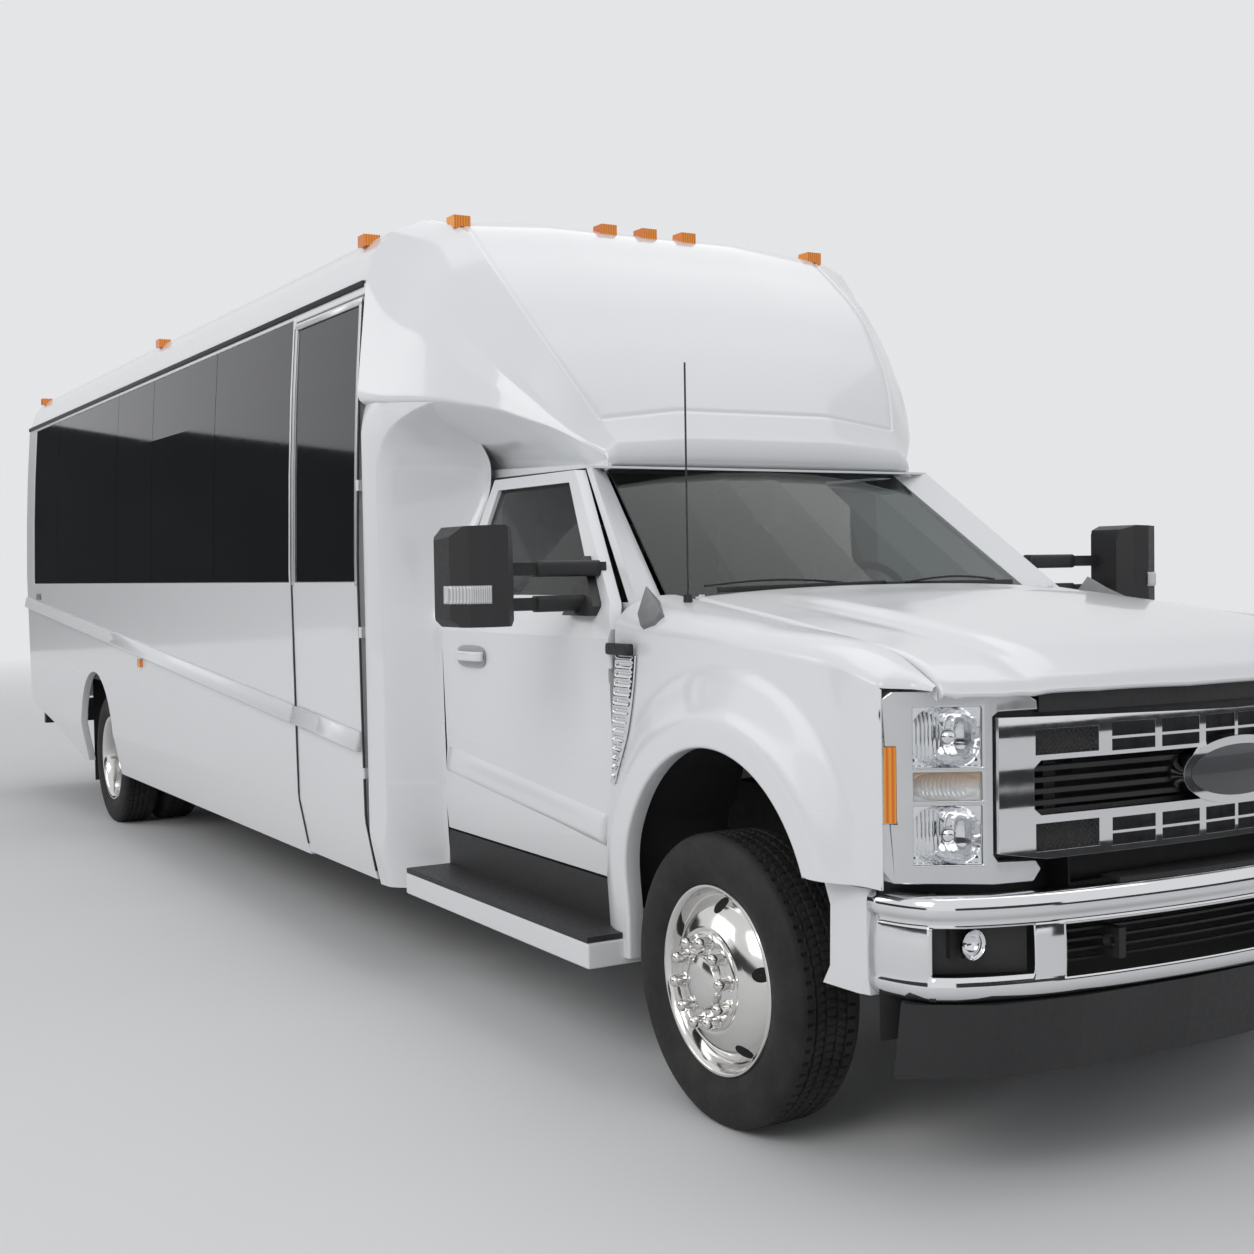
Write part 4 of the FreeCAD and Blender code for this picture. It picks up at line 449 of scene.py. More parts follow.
body_white, spot = surface("body_white", {"IOR": 1.5, "Coat Roughness": 0.06, "Coat Weight": 0.45})
height = spot.axis("Z")
film = (1.0 - height.between(0.35, 1.0)) * (spot.noise(2.0, 1.0) * 0.5 + 0.4)
feed(body_white, {
    "Base Color": (film * 0.16 + spot.noise(0.8, 2.0) * 0.04).mix((0.81, 0.82, 0.83, 1),
                                                                  (0.55, 0.54, 0.52, 1)),
    "Roughness": film * 0.06 + 0.27,
})
for node, width in (("side_wall_right", 0.006), ("side_wall_left", 0.006), ("roof", 0.03),
                    ("rear_wall", 0.008)):
    eased_copy(node, width, "body", body_white)

matt_black, spot = surface("moulded_black", {"IOR": 1.5})
feed(matt_black, {
    "Base Color": spot.noise(4.0).mix((0.016, 0.016, 0.017, 1), (0.028, 0.028, 0.029, 1)),
    "Roughness": spot.noise(60.0).between(0.2, 0.8) * 0.2 + 0.42,
    "Normal": spot.noise(900.0, 2.0).bump(0.0002),
})
dress(["bus_floor", "dashboard", "rear_bumper", "mud_flaps"], matt_black)


def close_up(mesh, ease=0.0):
    """Fill a mesh's open rims, turn its faces outward and ease its edges."""
    shape = bmesh.new()
    shape.from_mesh(mesh)
    bmesh.ops.holes_fill(shape, edges=[edge for edge in shape.edges if edge.is_boundary], sides=0)
    bmesh.ops.recalc_face_normals(shape, faces=shape.faces)
    if ease:
        bmesh.ops.bevel(shape, geom=list(shape.edges), offset=ease, segments=2, profile=0.5, affect="EDGES")
    shape.to_mesh(mesh)
    shape.free()


def strip(name, path, sides, body, material, top=(0.0, 0.0, 1.0)):
    """A moulding: a closed outline of (across, up) offsets carried along a path, with its ends closed.

    The outline's up side lies as near to top as it can.
    """
    path = np.asarray(path, float)
    sides = np.asarray(sides, float)
    run = np.gradient(path, axis=0)
    run /= np.linalg.norm(run, axis=1)[:, None]
    across = np.cross(run, top)
    across /= np.linalg.norm(across, axis=1)[:, None]
    up = np.cross(across, run)
    grid = path[:, None] + sides[None, :, 0, None] * across[:, None] + sides[None, :, 1, None] * up[:, None]
    close_up(sheet(name, grid, body, material, 40.0, wrap_columns=True).data)


def bar(half_across, half_up, soft=0.3):
    """A rounded oblong outline of that half width and half height, its corners rounded by the soft share."""
    count = 16
    angle = np.linspace(0, 2 * np.pi, count, endpoint=False) + np.pi / count
    return np.stack([half_across * np.sign(np.cos(angle)) * np.abs(np.cos(angle)) ** soft,
                     half_up * np.sign(np.sin(angle)) * np.abs(np.sin(angle)) ** soft], axis=1)


# the moulding's outline as (out from the wall, up): thickest near its foot, its face leaning in to the top
ledge = [(-0.004, -0.037), (0.012, -0.0365), (0.023, -0.033), (0.0265, -0.027), (0.0255, -0.021),
         (0.0145, 0.038), (0.012, 0.0415), (-0.004, 0.042)]
strip("side_moulding_right", [(-4.890, -1.236, 1.374), (1.088, -1.236, 0.951)], ledge, "body", body_white)
strip("side_moulding_left", [(1.890, 1.236, 0.896), (-4.890, 1.236, 1.374)], ledge, "body", body_white)

# Glass: sheets of dark privacy glass, bonded flush in one long band with thin black
# seams between them, over a black surround. The cab has clear, lightly green glass.
# The sheets are the CAD solids.
privacy, spot = surface("privacy_glass", {"IOR": 1.45, "Coat Roughness": 0.03})
feed(privacy, {
    "Base Color": spot.noise(1.2).mix((0.006, 0.007, 0.008, 1), (0.012, 0.013, 0.014, 1)),
    "Roughness": spot.noise(14.0).between(0.2, 0.9) * 0.04 + 0.03,
})
dress(["side_glass", "entry_door_glass", "rear_door_glass"], privacy)

clear, spot = surface("clear_glass", {"IOR": 1.35, "Transmission Weight": 1.0})
feed(clear, {
    "Base Color": spot.noise(2.0).mix((0.20, 0.24, 0.23, 1), (0.24, 0.28, 0.265, 1)),
    "Roughness": spot.noise(30.0).between(0.3, 0.9) * 0.02,
})
dress(["windscreen", "cab_door_glass_right", "cab_door_glass_left"], clear)

for side_name, side in (("right", -1), ("left", 1)):
    drip = [(-4.88, 1.1935 * side, 2.648), (1.88, 1.1935 * side, 2.648)]
    strip("drip_rail_" + side_name, drip, bar(0.006, 0.012), "body", matt_black)

# Lamps of the body: small moulded amber and red lenses on the roof's front edge, the
# roof sides and the skirt. Ribbed inside, glossy outside, screwed on.
amber, spot = surface("amber_lens", {"IOR": 1.5})
feed(amber, {
    "Base Color": spot.axis("Y").waves(90.0).mix((0.72, 0.17, 0.01, 1), (0.95, 0.36, 0.04, 1)),
    "Roughness": spot.noise(60.0).between(0.2, 0.8) * 0.1 + 0.1,
})
dress(["roof_lamps", "marker_lamps"], amber)
red, spot = surface("red_lens", {"IOR": 1.5})
feed(red, {
    "Base Color": spot.axis("Y").waves(90.0).mix((0.38, 0.008, 0.006, 1), (0.62, 0.025, 0.02, 1)),
    "Roughness": spot.noise(60.0).between(0.2, 0.8) * 0.1 + 0.1,
})
dress(["rear_lamps"], red)

# Entry door: a bonded sheet door with tall dark glass in a bright aluminium frame and
# a black rubber edge; behind it a small grey latch. The rear door is the same sheet
# work. Both are the CAD solids with eased edges, hung on lift-off hinges.
for node in ("entry_door", "rear_door"):
    eased_copy(node, 0.005, node, body_white)
satin_metal, spot = surface("satin_aluminium", {"Metallic": 1.0})
feed(satin_metal, {
    "Base Color": spot.noise(6.0).mix((0.62, 0.63, 0.64, 1), (0.72, 0.72, 0.73, 1)),
    "Roughness": spot.noise(40.0, 4.0, (1.0, 1.0, 0.05)).between(0.3, 0.7) * 0.12 + 0.28,
})
# height and half width of the door's outside, from the sill up to the roof rail
door_side = np.array([(0.400, 1.1896), (0.600, 1.2280), (0.760, 1.2307), (1.000, 1.2339), (1.300, 1.2366),
                      (1.480, 1.2390), (1.600, 1.2390), (1.800, 1.2340), (2.000, 1.2282), (2.200, 1.2191),
                      (2.300, 1.2143), (2.400, 1.2074), (2.500, 1.2004), (2.590, 1.1942)])
for name, along, low, half, material, slot in (
        ("entry_frame_front", 1.861, 1.500, 0.012, satin_metal, "chrome"),
        ("entry_frame_rear", 1.123, 1.500, 0.012, satin_metal, "chrome"),
        ("entry_seal_front", 1.8805, 0.400, 0.006, matt_black, "black_plastic"),
        ("entry_seal_rear", 1.1065, 0.400, 0.006, matt_black, "black_plastic")):
    rise = np.linspace(low, 2.580, 60)
    out = -np.interp(rise, door_side[:, 0], door_side[:, 1]) - 0.0015
    path = np.stack([np.full(len(rise), along), out, rise], axis=1)
    strip(name, path, bar(0.0035, half), "entry_door", material, (1.0, 0.0, 0.0))
strip("entry_frame_head", [(1.111, -1.1965, 2.580), (1.873, -1.1965, 2.580)], bar(0.0035, 0.010),
      "entry_door", satin_metal)
strip("entry_moulding", [(1.118, -1.235, 0.949), (1.862, -1.235, 0.897)], ledge, "entry_door", body_white)
grey_plastic, spot = surface("grey_plastic", {"IOR": 1.5})
feed(grey_plastic, {
    "Base Color": spot.noise(40.0).mix((0.16, 0.165, 0.17, 1), (0.24, 0.245, 0.25, 1)),
    "Roughness": spot.noise(80.0).between(0.2, 0.8) * 0.15 + 0.38,
})
strip("side_latch", [(-4.52, -1.241, 1.42), (-4.38, -1.241, 1.42)], bar(0.006, 0.020), "body", grey_plastic)
strip("rear_door_pull", [(-4.928, 0.30, 1.35), (-4.928, 0.30, 1.50)], bar(0.010, 0.012), "rear_door",
      matt_black, (0.0, 1.0, 0.0))

# Front cap: one large fibreglass moulding over the cab, with a crowned panel on its
# face inside a fine joint line, soft ridges beside it, a crisp arched lower edge, and
# two posts that sweep down behind the cab doors. It is bonded to the body frame.
cap_corners = np.array([
    # behind the front axle, then half width and height of the bottom, edge, side, upper, ridge, panel edge
    # and crown, in mm
    (2112, 760, 1990, 1236, 2200, 1190, 2650, 1150, 2770, 1082, 2850, 940, 2908, 500, 2938),
    (1982, 750, 1984, 1203, 2188, 1150, 2500, 1075, 2690, 968, 2788, 841, 2866, 420, 2893),
    (1817, 738, 1973, 1138, 2177, 1095, 2410, 1040, 2555, 968, 2647, 831, 2739, 415, 2766),
    (1704, 730, 1965, 1080, 2167, 1047, 2330, 1005, 2440, 945, 2520, 828, 2643, 414, 2670),
    (1601, 720, 1956, 1015, 2146, 992, 2255, 960, 2340, 917, 2400, 815, 2541, 408, 2569),
    (1503, 710, 1946, 950, 2122, 934, 2190, 915, 2245, 882, 2288, 786, 2425, 393, 2456),
    (1417, 703, 1936, 880, 2084, 870, 2125, 856, 2160, 837, 2183, 757, 2318, 378, 2350),
    (1330, 697, 1927, 806, 2043, 802, 2058, 796, 2072, 785, 2087, 711, 2189, 356, 2226),
    (1251, 690, 1918, 728, 1985, 727, 1990, 726, 1995, 724, 1999, 655, 2060, 330, 2100),
    (1200, 660, 1930, 676, 1942, 675, 1950, 674, 1957, 670, 1965, 628, 1995, 314, 2018)]) / 1000


def smooth_step(value, low, high):
    """0 below low, 1 above high, and a soft S between."""
    share = np.clip((value - low) / (high - low), 0, 1)
    return share * share * (3 - 2 * share)


def sunk_by_normal(grid, depth, inside):
    """Sink each point of a grid by depth along its normal, on a surface that faces away from inside."""
    normal = np.cross(np.gradient(grid, axis=0), np.gradient(grid, axis=1))
    normal /= np.linalg.norm(normal, axis=-1)[..., None] + 1e-12
    normal *= np.sign(np.sum(normal * (grid - inside), axis=-1))[..., None]
    return grid - depth[..., None] * normal


def cap_surface():
    """Sections run straight between their corners, which are then rounded by a bell-shaped average.

    The corners follow smooth lines from section to section. The last rows turn
    down and back under, which closes the nose. The joint line is a groove 4.5 mm
    deep along the panel edge and across its foot.
    """
    foot_line = 1.262
    samples = 1601
    half_bell = 14
    behind = np.sort(np.concatenate([np.linspace(2.112, 1.2, 84), np.linspace(1.275, 1.245, 13)]))[::-1]
    corners = drawn(-cap_corners[:, 0], cap_corners[:, 1:], -behind).reshape(len(behind), 7, 2)
    under = np.broadcast_to((0.690, 1.895), corners[:, :1].shape)
    corners = np.concatenate([under, corners, corners[:, -1:] * (0, 1)], axis=1)
    whole = np.concatenate([corners, corners[:, -2::-1] * (-1, 1)], axis=1)
    place = np.linspace(0, 16, samples)
    corner = np.minimum(place.astype(int), 15)
    share = (place - corner)[None, :, None]
    line = whole[:, corner] * (1 - share) + whole[:, corner + 1] * share
    kernel = np.exp(-(np.arange(-half_bell, half_bell + 1) / 6.0) ** 2)
    kernel /= kernel.sum()
    padded = np.concatenate([np.repeat(line[:, :1], half_bell, axis=1), line,
                             np.repeat(line[:, -1:], half_bell, axis=1)], axis=1)
    soft = sum(weight * padded[:, start:start + samples] for start, weight in enumerate(kernel))
    # every ninth sample, and closer ones at the panel edges and the lower edges
    keep = np.unique(np.concatenate([np.arange(0, samples, 9), [samples - 1], np.arange(580, 621, 2),
                                     np.arange(980, 1021, 2), np.arange(180, 221, 3),
                                     np.arange(1380, 1421, 3)]))
    section = soft[:, keep]
    grid = np.stack([np.broadcast_to(front_axle_x - behind[:, None], section.shape[:2]), section[..., 0],
                     section[..., 1]], axis=-1)
    at_edge = np.minimum(np.abs(place[keep] - 6), np.abs(place[keep] - 10))[None, :]
    at_foot = np.abs(behind[:, None] - foot_line) / 0.004
    inside = (place[keep] > 6)[None, :] & (place[keep] < 10)[None, :]
    groove = np.maximum(np.exp(-(at_edge / 0.035) ** 2) * (behind[:, None] > foot_line),
                        np.exp(-at_foot ** 2) * inside)
    grid = sunk_by_normal(grid, 0.0045 * groove, (2.0, 0.0, 2.2))
    nose = grid[-1:]
    share = np.linspace(0.04, 1, 24)[:, None]
    forward = (0.016 * np.sin(np.pi * np.minimum(share / 0.9, 1)) ** 0.7
               - 0.075 * smooth_step(share, 0.62, 1.0))
    rounding = np.stack([nose[..., 0] + forward, nose[..., 1] * (1 - 0.03 * smooth_step(share, 0.5, 1.0)),
                         nose[..., 2] + (1.884 - nose[..., 2]) * share], axis=-1)
    return np.concatenate([grid, rounding])


gloss_white, spot = surface("fibreglass_white", {"IOR": 1.5, "Coat Roughness": 0.04, "Coat Weight": 0.7})
feed(gloss_white, {
    "Base Color": (spot.noise(0.9, 2.0) * 0.08).mix((0.80, 0.81, 0.82, 1), (0.62, 0.61, 0.60, 1)),
    "Roughness": spot.noise(1.5, 1.0) * 0.04 + 0.24,
})
cap = sheet("front_cap_moulding", cap_surface(), "body", gloss_white, 50.0, True)
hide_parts("front_cap")

# height, cab edge, half width of the body, and how far behind the front axle the post ends, in mm
post_levels = np.array([(350, 986, 1180, 1872), (600, 1002, 1228, 1872), (760, 1006, 1233, 1872),
                        (950, 1010, 1235, 1872), (1150, 1013, 1236, 1872), (1290, 1014, 1236, 1872),
                        (1330, 1013, 1236, 1872), (1442, 966, 1236, 1872), (1660, 883, 1235, 1872),
                        (1890, 800, 1234, 1872), (1960, 806, 1232, 1866), (2040, 862, 1228, 1840),
                        (2110, 950, 1222, 1780), (2160, 1040, 1212, 1690), (2200, 1090, 1200, 1590)]) / 1000


def post_surface(side):
    """Plan curve from the body side round to the cab's edge, an S on half a cosine, at each height.

    Near the top the edge swings out and forward in a cove that meets the cap's
    lower edge. Below 745 mm the post stands 4 mm proud.
    """
    back = 2.112
    turn_depth = 0.19
    proud_height = 0.004
    wanted = np.unique(np.concatenate([np.linspace(0.35, 1.9, 60), np.linspace(1.9, 2.2, 40),
                                       np.linspace(0.735, 0.775, 9)]))
    levels = drawn(post_levels[:, 0], post_levels[:, 1:], wanted)
    edge, half, end = (levels[:, None, number] for number in range(3))
    t = np.linspace(0, 1, 49)[None, :]
    flat = 0.14
    sweep = np.clip((t - flat) / (1 - flat), 0, 1)
    behind = back - (back - end - turn_depth) * np.minimum(t / flat, 1) - turn_depth * sweep
    blend = 0.5 - 0.5 * np.cos(np.pi * sweep ** 1.15)
    proud = proud_height * (1 - np.clip((wanted[:, None] - 0.745) / 0.018, 0, 1)) * np.ones_like(t)
    y = half - proud_height * np.minimum(t / flat, 1) - (half - proud_height - edge) * blend
    y = y + proud - proud_height
    rim = cap_corners[::-1]
    y = np.minimum(y, np.interp(behind, rim[:, 0], rim[:, 3]) - 0.014)
    z = np.minimum(wanted[:, None] + 0 * t, np.interp(behind, rim[:, 0], rim[:, 4]) - 0.006)
    return np.stack([front_axle_x - behind, side * y, z], axis=-1)


for side_name, side in (("right", -1), ("left", 1)):
    sheet("cap_post_" + side_name, post_surface(side), "body", gloss_white, 50.0,
          side > 0)

# Cab: a pressed steel cab body with a separate hinged door each side, in the same
# white enamel. Shell and doors are the CAD solids with eased edges, and the doors
# carry pull handles over their cups, which are near-flat grey discs of painted shade,
# and a pressed swage line low down.
for node, body in (("cab_shell", "body"), ("cab_door_right", "cab_door_right"),
                   ("cab_door_left", "cab_door_left")):
    eased_copy(node, 0.007, body, body_white, 3, 20.0)
# The handle cups are near-flat discs in mid grey: painted shade for the recess in the white door.
cup_shade_paint, spot = surface("handle_cup_painted_shade", {"IOR": 1.5})
feed(cup_shade_paint, {
    "Base Color": spot.noise(9.0).mix((0.42, 0.425, 0.43, 1), (0.50, 0.50, 0.51, 1)),
    "Roughness": spot.noise(30.0).between(0.2, 0.8) * 0.1 + 0.3,
})

for side_name, side in (("right", -1), ("left", 1)):
    ring = np.linspace(0, 2 * np.pi, 48, endpoint=False)[:, None]
    depth = np.linspace(0, 1, 9)[None, :]
    size = np.cos(depth * 1.35)
    bowl = np.stack([2.405 + 0.118 * size * np.sign(np.cos(ring)) * np.abs(np.cos(ring)) ** 0.6,
                     side * (1.0178 - 0.0012 * depth) + 0 * ring,
                     1.240 + 0.040 * size * np.sign(np.sin(ring)) * np.abs(np.sin(ring)) ** 0.6], axis=-1)
    sheet("handle_cup_" + side_name, bowl, "cab_door_" + side_name, cup_shade_paint, flip=side > 0,
          wrap_rows=True)
    reach = np.linspace(-1, 1, 17)
    pull = np.stack([2.412 + 0.108 * reach, side * (1.046 - 0.020 * np.abs(reach) ** 5), 1.243 + 0 * reach],
                    axis=1)
    strip("door_handle_" + side_name, pull, bar(0.007, 0.017, 0.5), "cab_door_" + side_name, body_white)
    fall = np.linspace(0, 1, 30)[::-side]
    swage = np.stack([2.165 + 1.205 * fall, side * (1.0040 + 0.0070 * fall), 0.849 - 0.111 * fall], axis=1)
    pressing = [(-0.010, -0.060), (0.001, -0.052), (0.0085, -0.040), (0.0100, -0.030), (0.0005, 0.040),
                (-0.006, 0.050)]
    strip("door_swage_" + side_name, swage, pressing, "cab_door_" + side_name, body_white)

# Fenders: pressed steel wings over the front wheels with a wide flare and a rolled
# lip, and a black liner in each wheel house. Bolted to the cab and the radiator frame.
arch_x, arch_z, arch_radius = 4.030, 0.585, 0.475


def wing_side(x, z):
    """Half width of the wing's side: nearly flat, narrower at the top, swelled by 60 mm round the arch."""
    radius = np.hypot(x - arch_x, z - arch_z)
    low_behind = smooth_step(0.78 - z, 0.0, 0.3)
    swell = 0.060 * (1 - smooth_step(radius, 0.535, 0.70)) * (1 - 0.35 * low_behind * (x < arch_x))
    swell = swell * (1 - 0.95 * smooth_step(x, 4.50, 4.70))
    top = 0.016 * smooth_step(z, 1.05, 1.34) * (1 - smooth_step(x, 4.45, 4.66))
    return 1.015 + 0.003 * smooth_step(x, 4.5, 4.66) + swell - top


def shoulder_height(x):
    """Height where the wing's side turns over: falls from the door towards the lamp."""
    return np.interp(x, (3.418, 3.80, 4.20, 4.55, 4.710, 4.80), (1.352, 1.342, 1.318, 1.282, 1.250, 1.244))


def hood_edge(x):
    """Half width and height of the hood's side edge."""
    return (np.interp(x, (3.528, 4.060, 4.638, 4.810, 4.910), (0.775, 0.822, 0.880, 0.917, 0.925)),
            drawn((3.528, 4.060, 4.638, 4.810, 4.910), (1.458, 1.398, 1.322, 1.259, 1.215), x))


def wing_patch(side):
    """Rays from the arch centre, from the lip out to the wing's edge, at the side's half width.

    The edge lies where a ray meets the shoulder, the lamp or the door gap, found by
    coming closer to the shoulder's height twelve times.
    """
    ahead, aft, foot = 0.68, 0.612, 0.18
    least = 1e-6
    angle = np.unique(np.concatenate([np.linspace(math.radians(14.9), math.pi, 150),
                                      [math.atan2(0.665, 0.68), math.atan2(0.767, -0.612)]]))[:, None]
    ahead_stop = np.where(np.cos(angle) > 0, ahead / np.maximum(np.cos(angle), least), 9.0)
    back_stop = np.where(np.cos(angle) < 0, -aft / np.minimum(np.cos(angle), -least), 9.0)
    reach = np.full(angle.shape, 2.0)
    for _ in range(12):
        x = arch_x + reach * np.cos(angle)
        top = (shoulder_height(x) - arch_z) / np.maximum(np.sin(angle), least)
        reach = np.minimum(np.minimum(top, ahead_stop), back_stop)
    start = np.maximum(arch_radius, foot / np.maximum(np.sin(angle), least) * (angle < 1.0))
    share = np.linspace(0, 1, 36)[None, :] ** 1.25
    radius = start + (np.maximum(reach, start + 0.0005) - start) * share
    x = arch_x + radius * np.cos(angle)
    z = arch_z + radius * np.sin(angle)
    return np.stack([x, side * wing_side(x, z), z], axis=-1)


def wing_lip(side):
    """The rolled lip: a quarter round inward, then straight in by 45 mm, down the rear leg too."""
    round_arch, down_leg = 110, 14
    angle = np.concatenate([np.linspace(math.radians(22.3), math.pi, round_arch), np.full(down_leg, math.pi)])
    drop = np.concatenate([np.zeros(round_arch), np.linspace(0.012, 0.209, down_leg)])
    roll = np.linspace(0, math.pi / 2, 7)
    inward = np.concatenate([0.010 * (1 - np.cos(roll)), [0.03, 0.055]])[None, :]
    shrink = np.concatenate([0.010 * np.sin(roll), [0.0102, 0.006]])[None, :]
    edge_x = arch_x + arch_radius * np.cos(angle)[:, None]
    edge_z = arch_z + arch_radius * np.sin(angle)[:, None] - drop[:, None]
    x = arch_x + (arch_radius - shrink) * np.cos(angle)[:, None]
    z = arch_z + (arch_radius - shrink) * np.sin(angle)[:, None] - drop[:, None]
    y = wing_side(edge_x, edge_z) - inward
    return np.stack([x, side * y, z], axis=-1)


def wing_leg(side):
    """The strip behind the wheel, from the arch edge back to the door gap."""
    x, z = np.meshgrid(np.linspace(3.418, 3.555, 12), np.linspace(0.376, 0.585, 16), indexing="ij")
    return np.stack([x, side * wing_side(x, z), z], axis=-1)


def wing_top(side):
    """A quarter of a flattened ring from the side's shoulder up and in to the hood's edge.

    A narrow flange turns down at the edge, so that the gap beside the hood is closed.
    """
    x = np.concatenate([np.linspace(3.418, 4.704, 80), np.linspace(4.710, 4.800, 16)])[:, None]
    turn = np.linspace(0, math.pi / 2, 16)[None, :]
    low = shoulder_height(x)
    out = np.where(x < 4.707, wing_side(x, low), np.interp(x, (4.704, 4.751, 4.80), (1.018, 0.953, 0.934)))
    seam, seam_z = hood_edge(x)
    seam, seam_z = seam + 0.006, seam_z - 0.008
    flange = np.array([0.0015, 0.006, 0.035])
    y = np.concatenate([seam + (out - seam) * np.cos(turn) ** 0.8, seam - 0.001 + 0 * flange], axis=1)
    z = np.concatenate([low + (seam_z - low) * np.sin(turn), seam_z - flange], axis=1)
    return np.stack([np.broadcast_to(x, y.shape), side * y, z], axis=-1)


for side_name, side in (("right", -1), ("left", 1)):
    front_x = 4.710
    front_z = np.linspace(0.766, 1.248, 40)[:, None]
    front_y = wing_side(front_x, front_z) - np.array([0, 0.001, 0.003, 0.005])
    front_edge = np.stack([front_x + 0 * front_y + np.array([0, 0.0015, 0.0015, -0.006]), side * front_y,
                           front_z + 0 * front_y], axis=-1)
    points = []
    faces = []
    count = 0
    for grid, turned in ((wing_patch(side), True), (wing_lip(side)[:, ::-1], True), (wing_leg(side), False),
                         (wing_top(side), False), (front_edge, False)):
        own = grid_faces(*grid.shape[:2]) + count
        faces.append(own[:, ::-1] if (side < 0) == turned else own)
        points.append(grid.reshape(-1, 3))
        count += len(points[-1])
    wing = new_mesh("wing_" + side_name, np.concatenate(points), np.concatenate(faces), "body", body_white,
                    50.0)
    shape = bmesh.new()
    shape.from_mesh(wing.data)
    bmesh.ops.remove_doubles(shape, verts=shape.verts, dist=0.0006)
    shape.to_mesh(wing.data)
    shape.free()
    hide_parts("front_fenders")
    angle, across = np.meshgrid(np.radians(np.linspace(12, 188, 60)), np.linspace(0.66, 1.005, 6),
                                indexing="ij")
    radius = 0.545 - 0.02 * np.abs(np.sin(angle * 9))
    liner = np.stack([arch_x + radius * np.cos(angle), side * across, arch_z + radius * np.sin(angle)],
                     axis=-1)
    sheet("wheel_house_" + side_name, liner, "body", matt_black)

# Wing trim: a bright slotted vent behind each wheel with a black cap over it, and a
# grey wedge at the foot of the windscreen pillar. Clipped into the wing.
chrome, spot = surface("bright_chrome", {"Metallic": 1.0})
feed(chrome, {
    "Base Color": spot.noise(3.0).mix((0.78, 0.79, 0.80, 1), (0.86, 0.86, 0.87, 1)),
    "Roughness": spot.noise(25.0, 5.0).between(0.3, 0.8) * 0.06 + 0.05,
    "Normal": spot.noise(3.0, 1.0).bump(0.003),
})


def thicken(piece, name, thickness):
    """Give a sheet its thickness behind the face, as a modifier of that name."""
    wall = piece.modifiers.new(name, "SOLIDIFY")
    wall.thickness = thickness
    wall.offset = -1.0
    return wall


# height, rear end and front end of the vent
vent_corners = ((1.284, 3.431, 3.553), (1.20, 3.431, 3.549), (1.12, 3.431, 3.540), (1.03, 3.431, 3.516),
                (0.96, 3.431, 3.492), (0.892, 3.431, 3.470))
for side_name, side in (("right", -1), ("left", 1)):
    foot, slot_pitch = 0.892, 0.028
    z = np.linspace(1.284, foot, 197)[:, None]
    heights, *ends = zip(*vent_corners)
    low, high = (drawn(-np.array(heights), end, -z[:, 0])[:, None] for end in ends)
    share = np.linspace(0, 1, 25)[None, :]
    x = low + (high - low) * share
    slot_depth = (0.5 + 0.5 * np.cos(2 * np.pi * (z - foot) / slot_pitch)) ** 2
    slot_depth = slot_depth * np.clip(np.minimum(share, 1 - share) * 12 - 1, 0, 1)
    rim = np.minimum(np.minimum(share, 1 - share) * 8, 1)
    y = side * (wing_side(x, z) + 0.004 + 0.006 * np.sqrt(rim) - 0.009 * slot_depth)
    vent = sheet("wing_vent_" + side_name, np.stack([x + 0 * z, y, z + 0 * x], axis=-1), "body", chrome,
                 flip=side < 0)
    thicken(vent, "back", 0.003)
    cap_line = np.stack([np.linspace(3.427, 3.556, 9), np.full(9, side * 1.028), np.full(9, 1.303)], axis=1)
    strip("vent_cap_" + side_name, cap_line, bar(0.012, 0.018, 0.5), "body", matt_black)
    wedge = np.array([(3.500, 0.936, 1.496), (3.540, 0.992, 1.412), (3.585, 1.010, 1.376),
                      (3.640, 1.000, 1.388), (3.650, 0.980, 1.420), (3.580, 0.950, 1.448)])
    wedge[:, 1] = side * wedge[:, 1]
    plate = np.stack([wedge, wedge - (0, side * 0.05, 0.05)])
    trim = sheet("pillar_wedge_" + side_name, plate, "body", grey_plastic, 20.0,
                 wrap_columns=True)
    close_up(trim.data, 0.004)

# Windscreen wipers: two black arms pivoting on the cowl, each with a long blade along
# the foot of the glass, and a black cowl strip under them.


def on_glass(y, up):
    """A point a little proud of the windscreen, by its distance across and its share of the way up."""
    y, up = np.broadcast_arrays(np.asarray(y, float), np.asarray(up, float))
    foot = np.stack([3.512 - 0.115 * (np.abs(y) / 0.775) ** 2, y, 1.446 + 0 * y], axis=-1)
    return foot + up[..., None] * np.array((-0.747, 0.0, 0.457)) + (0.007, 0, 0.012)


for name, pivot, tip, blade_low, blade_high, rise_low, rise_high in (
        ("right", -0.66, -0.16, -0.62, 0.02, 0.035, 0.060), ("left", 0.10, 0.56, 0.02, 0.66, 0.050, 0.045)):
    reach = np.linspace(0, 1, 13)
    arm = on_glass(pivot + (tip - pivot) * reach, 0.042 + 0.02 * reach)
    arm = arm + np.outer(0.022 * np.sin(np.pi * (0.15 + 0.8 * reach)), (0.3, 0, 1))
    strip("wiper_arm_" + name, arm, bar(0.006, 0.004, 0.6), "body", matt_black)
    blade = on_glass(blade_low + (blade_high - blade_low) * reach, rise_low + (rise_high - rise_low) * reach)
    strip("wiper_blade_" + name, blade, bar(0.004, 0.009, 0.6), "body", matt_black)
cowl = on_glass(np.linspace(-0.80, 0.80, 41), 0.0) + (0.030, 0, -0.028)
strip("cowl_strip", cowl, bar(0.040, 0.008, 0.6), "body", matt_black)

# Hood: one steel panel with a raised centre, two soft creases and a rolled front
# edge, white like the wings. It hinges at the back, below the windscreen.
hood_rows = np.array([
    # place along, height at the middle, height at the side edge
    (3.528, 1.486, 1.458), (4.060, 1.432, 1.398), (4.400, 1.392, 1.355), (4.638, 1.354, 1.322),
    (4.730, 1.334, 1.296), (4.810, 1.308, 1.259), (4.870, 1.282, 1.232), (4.908, 1.258, 1.210)])


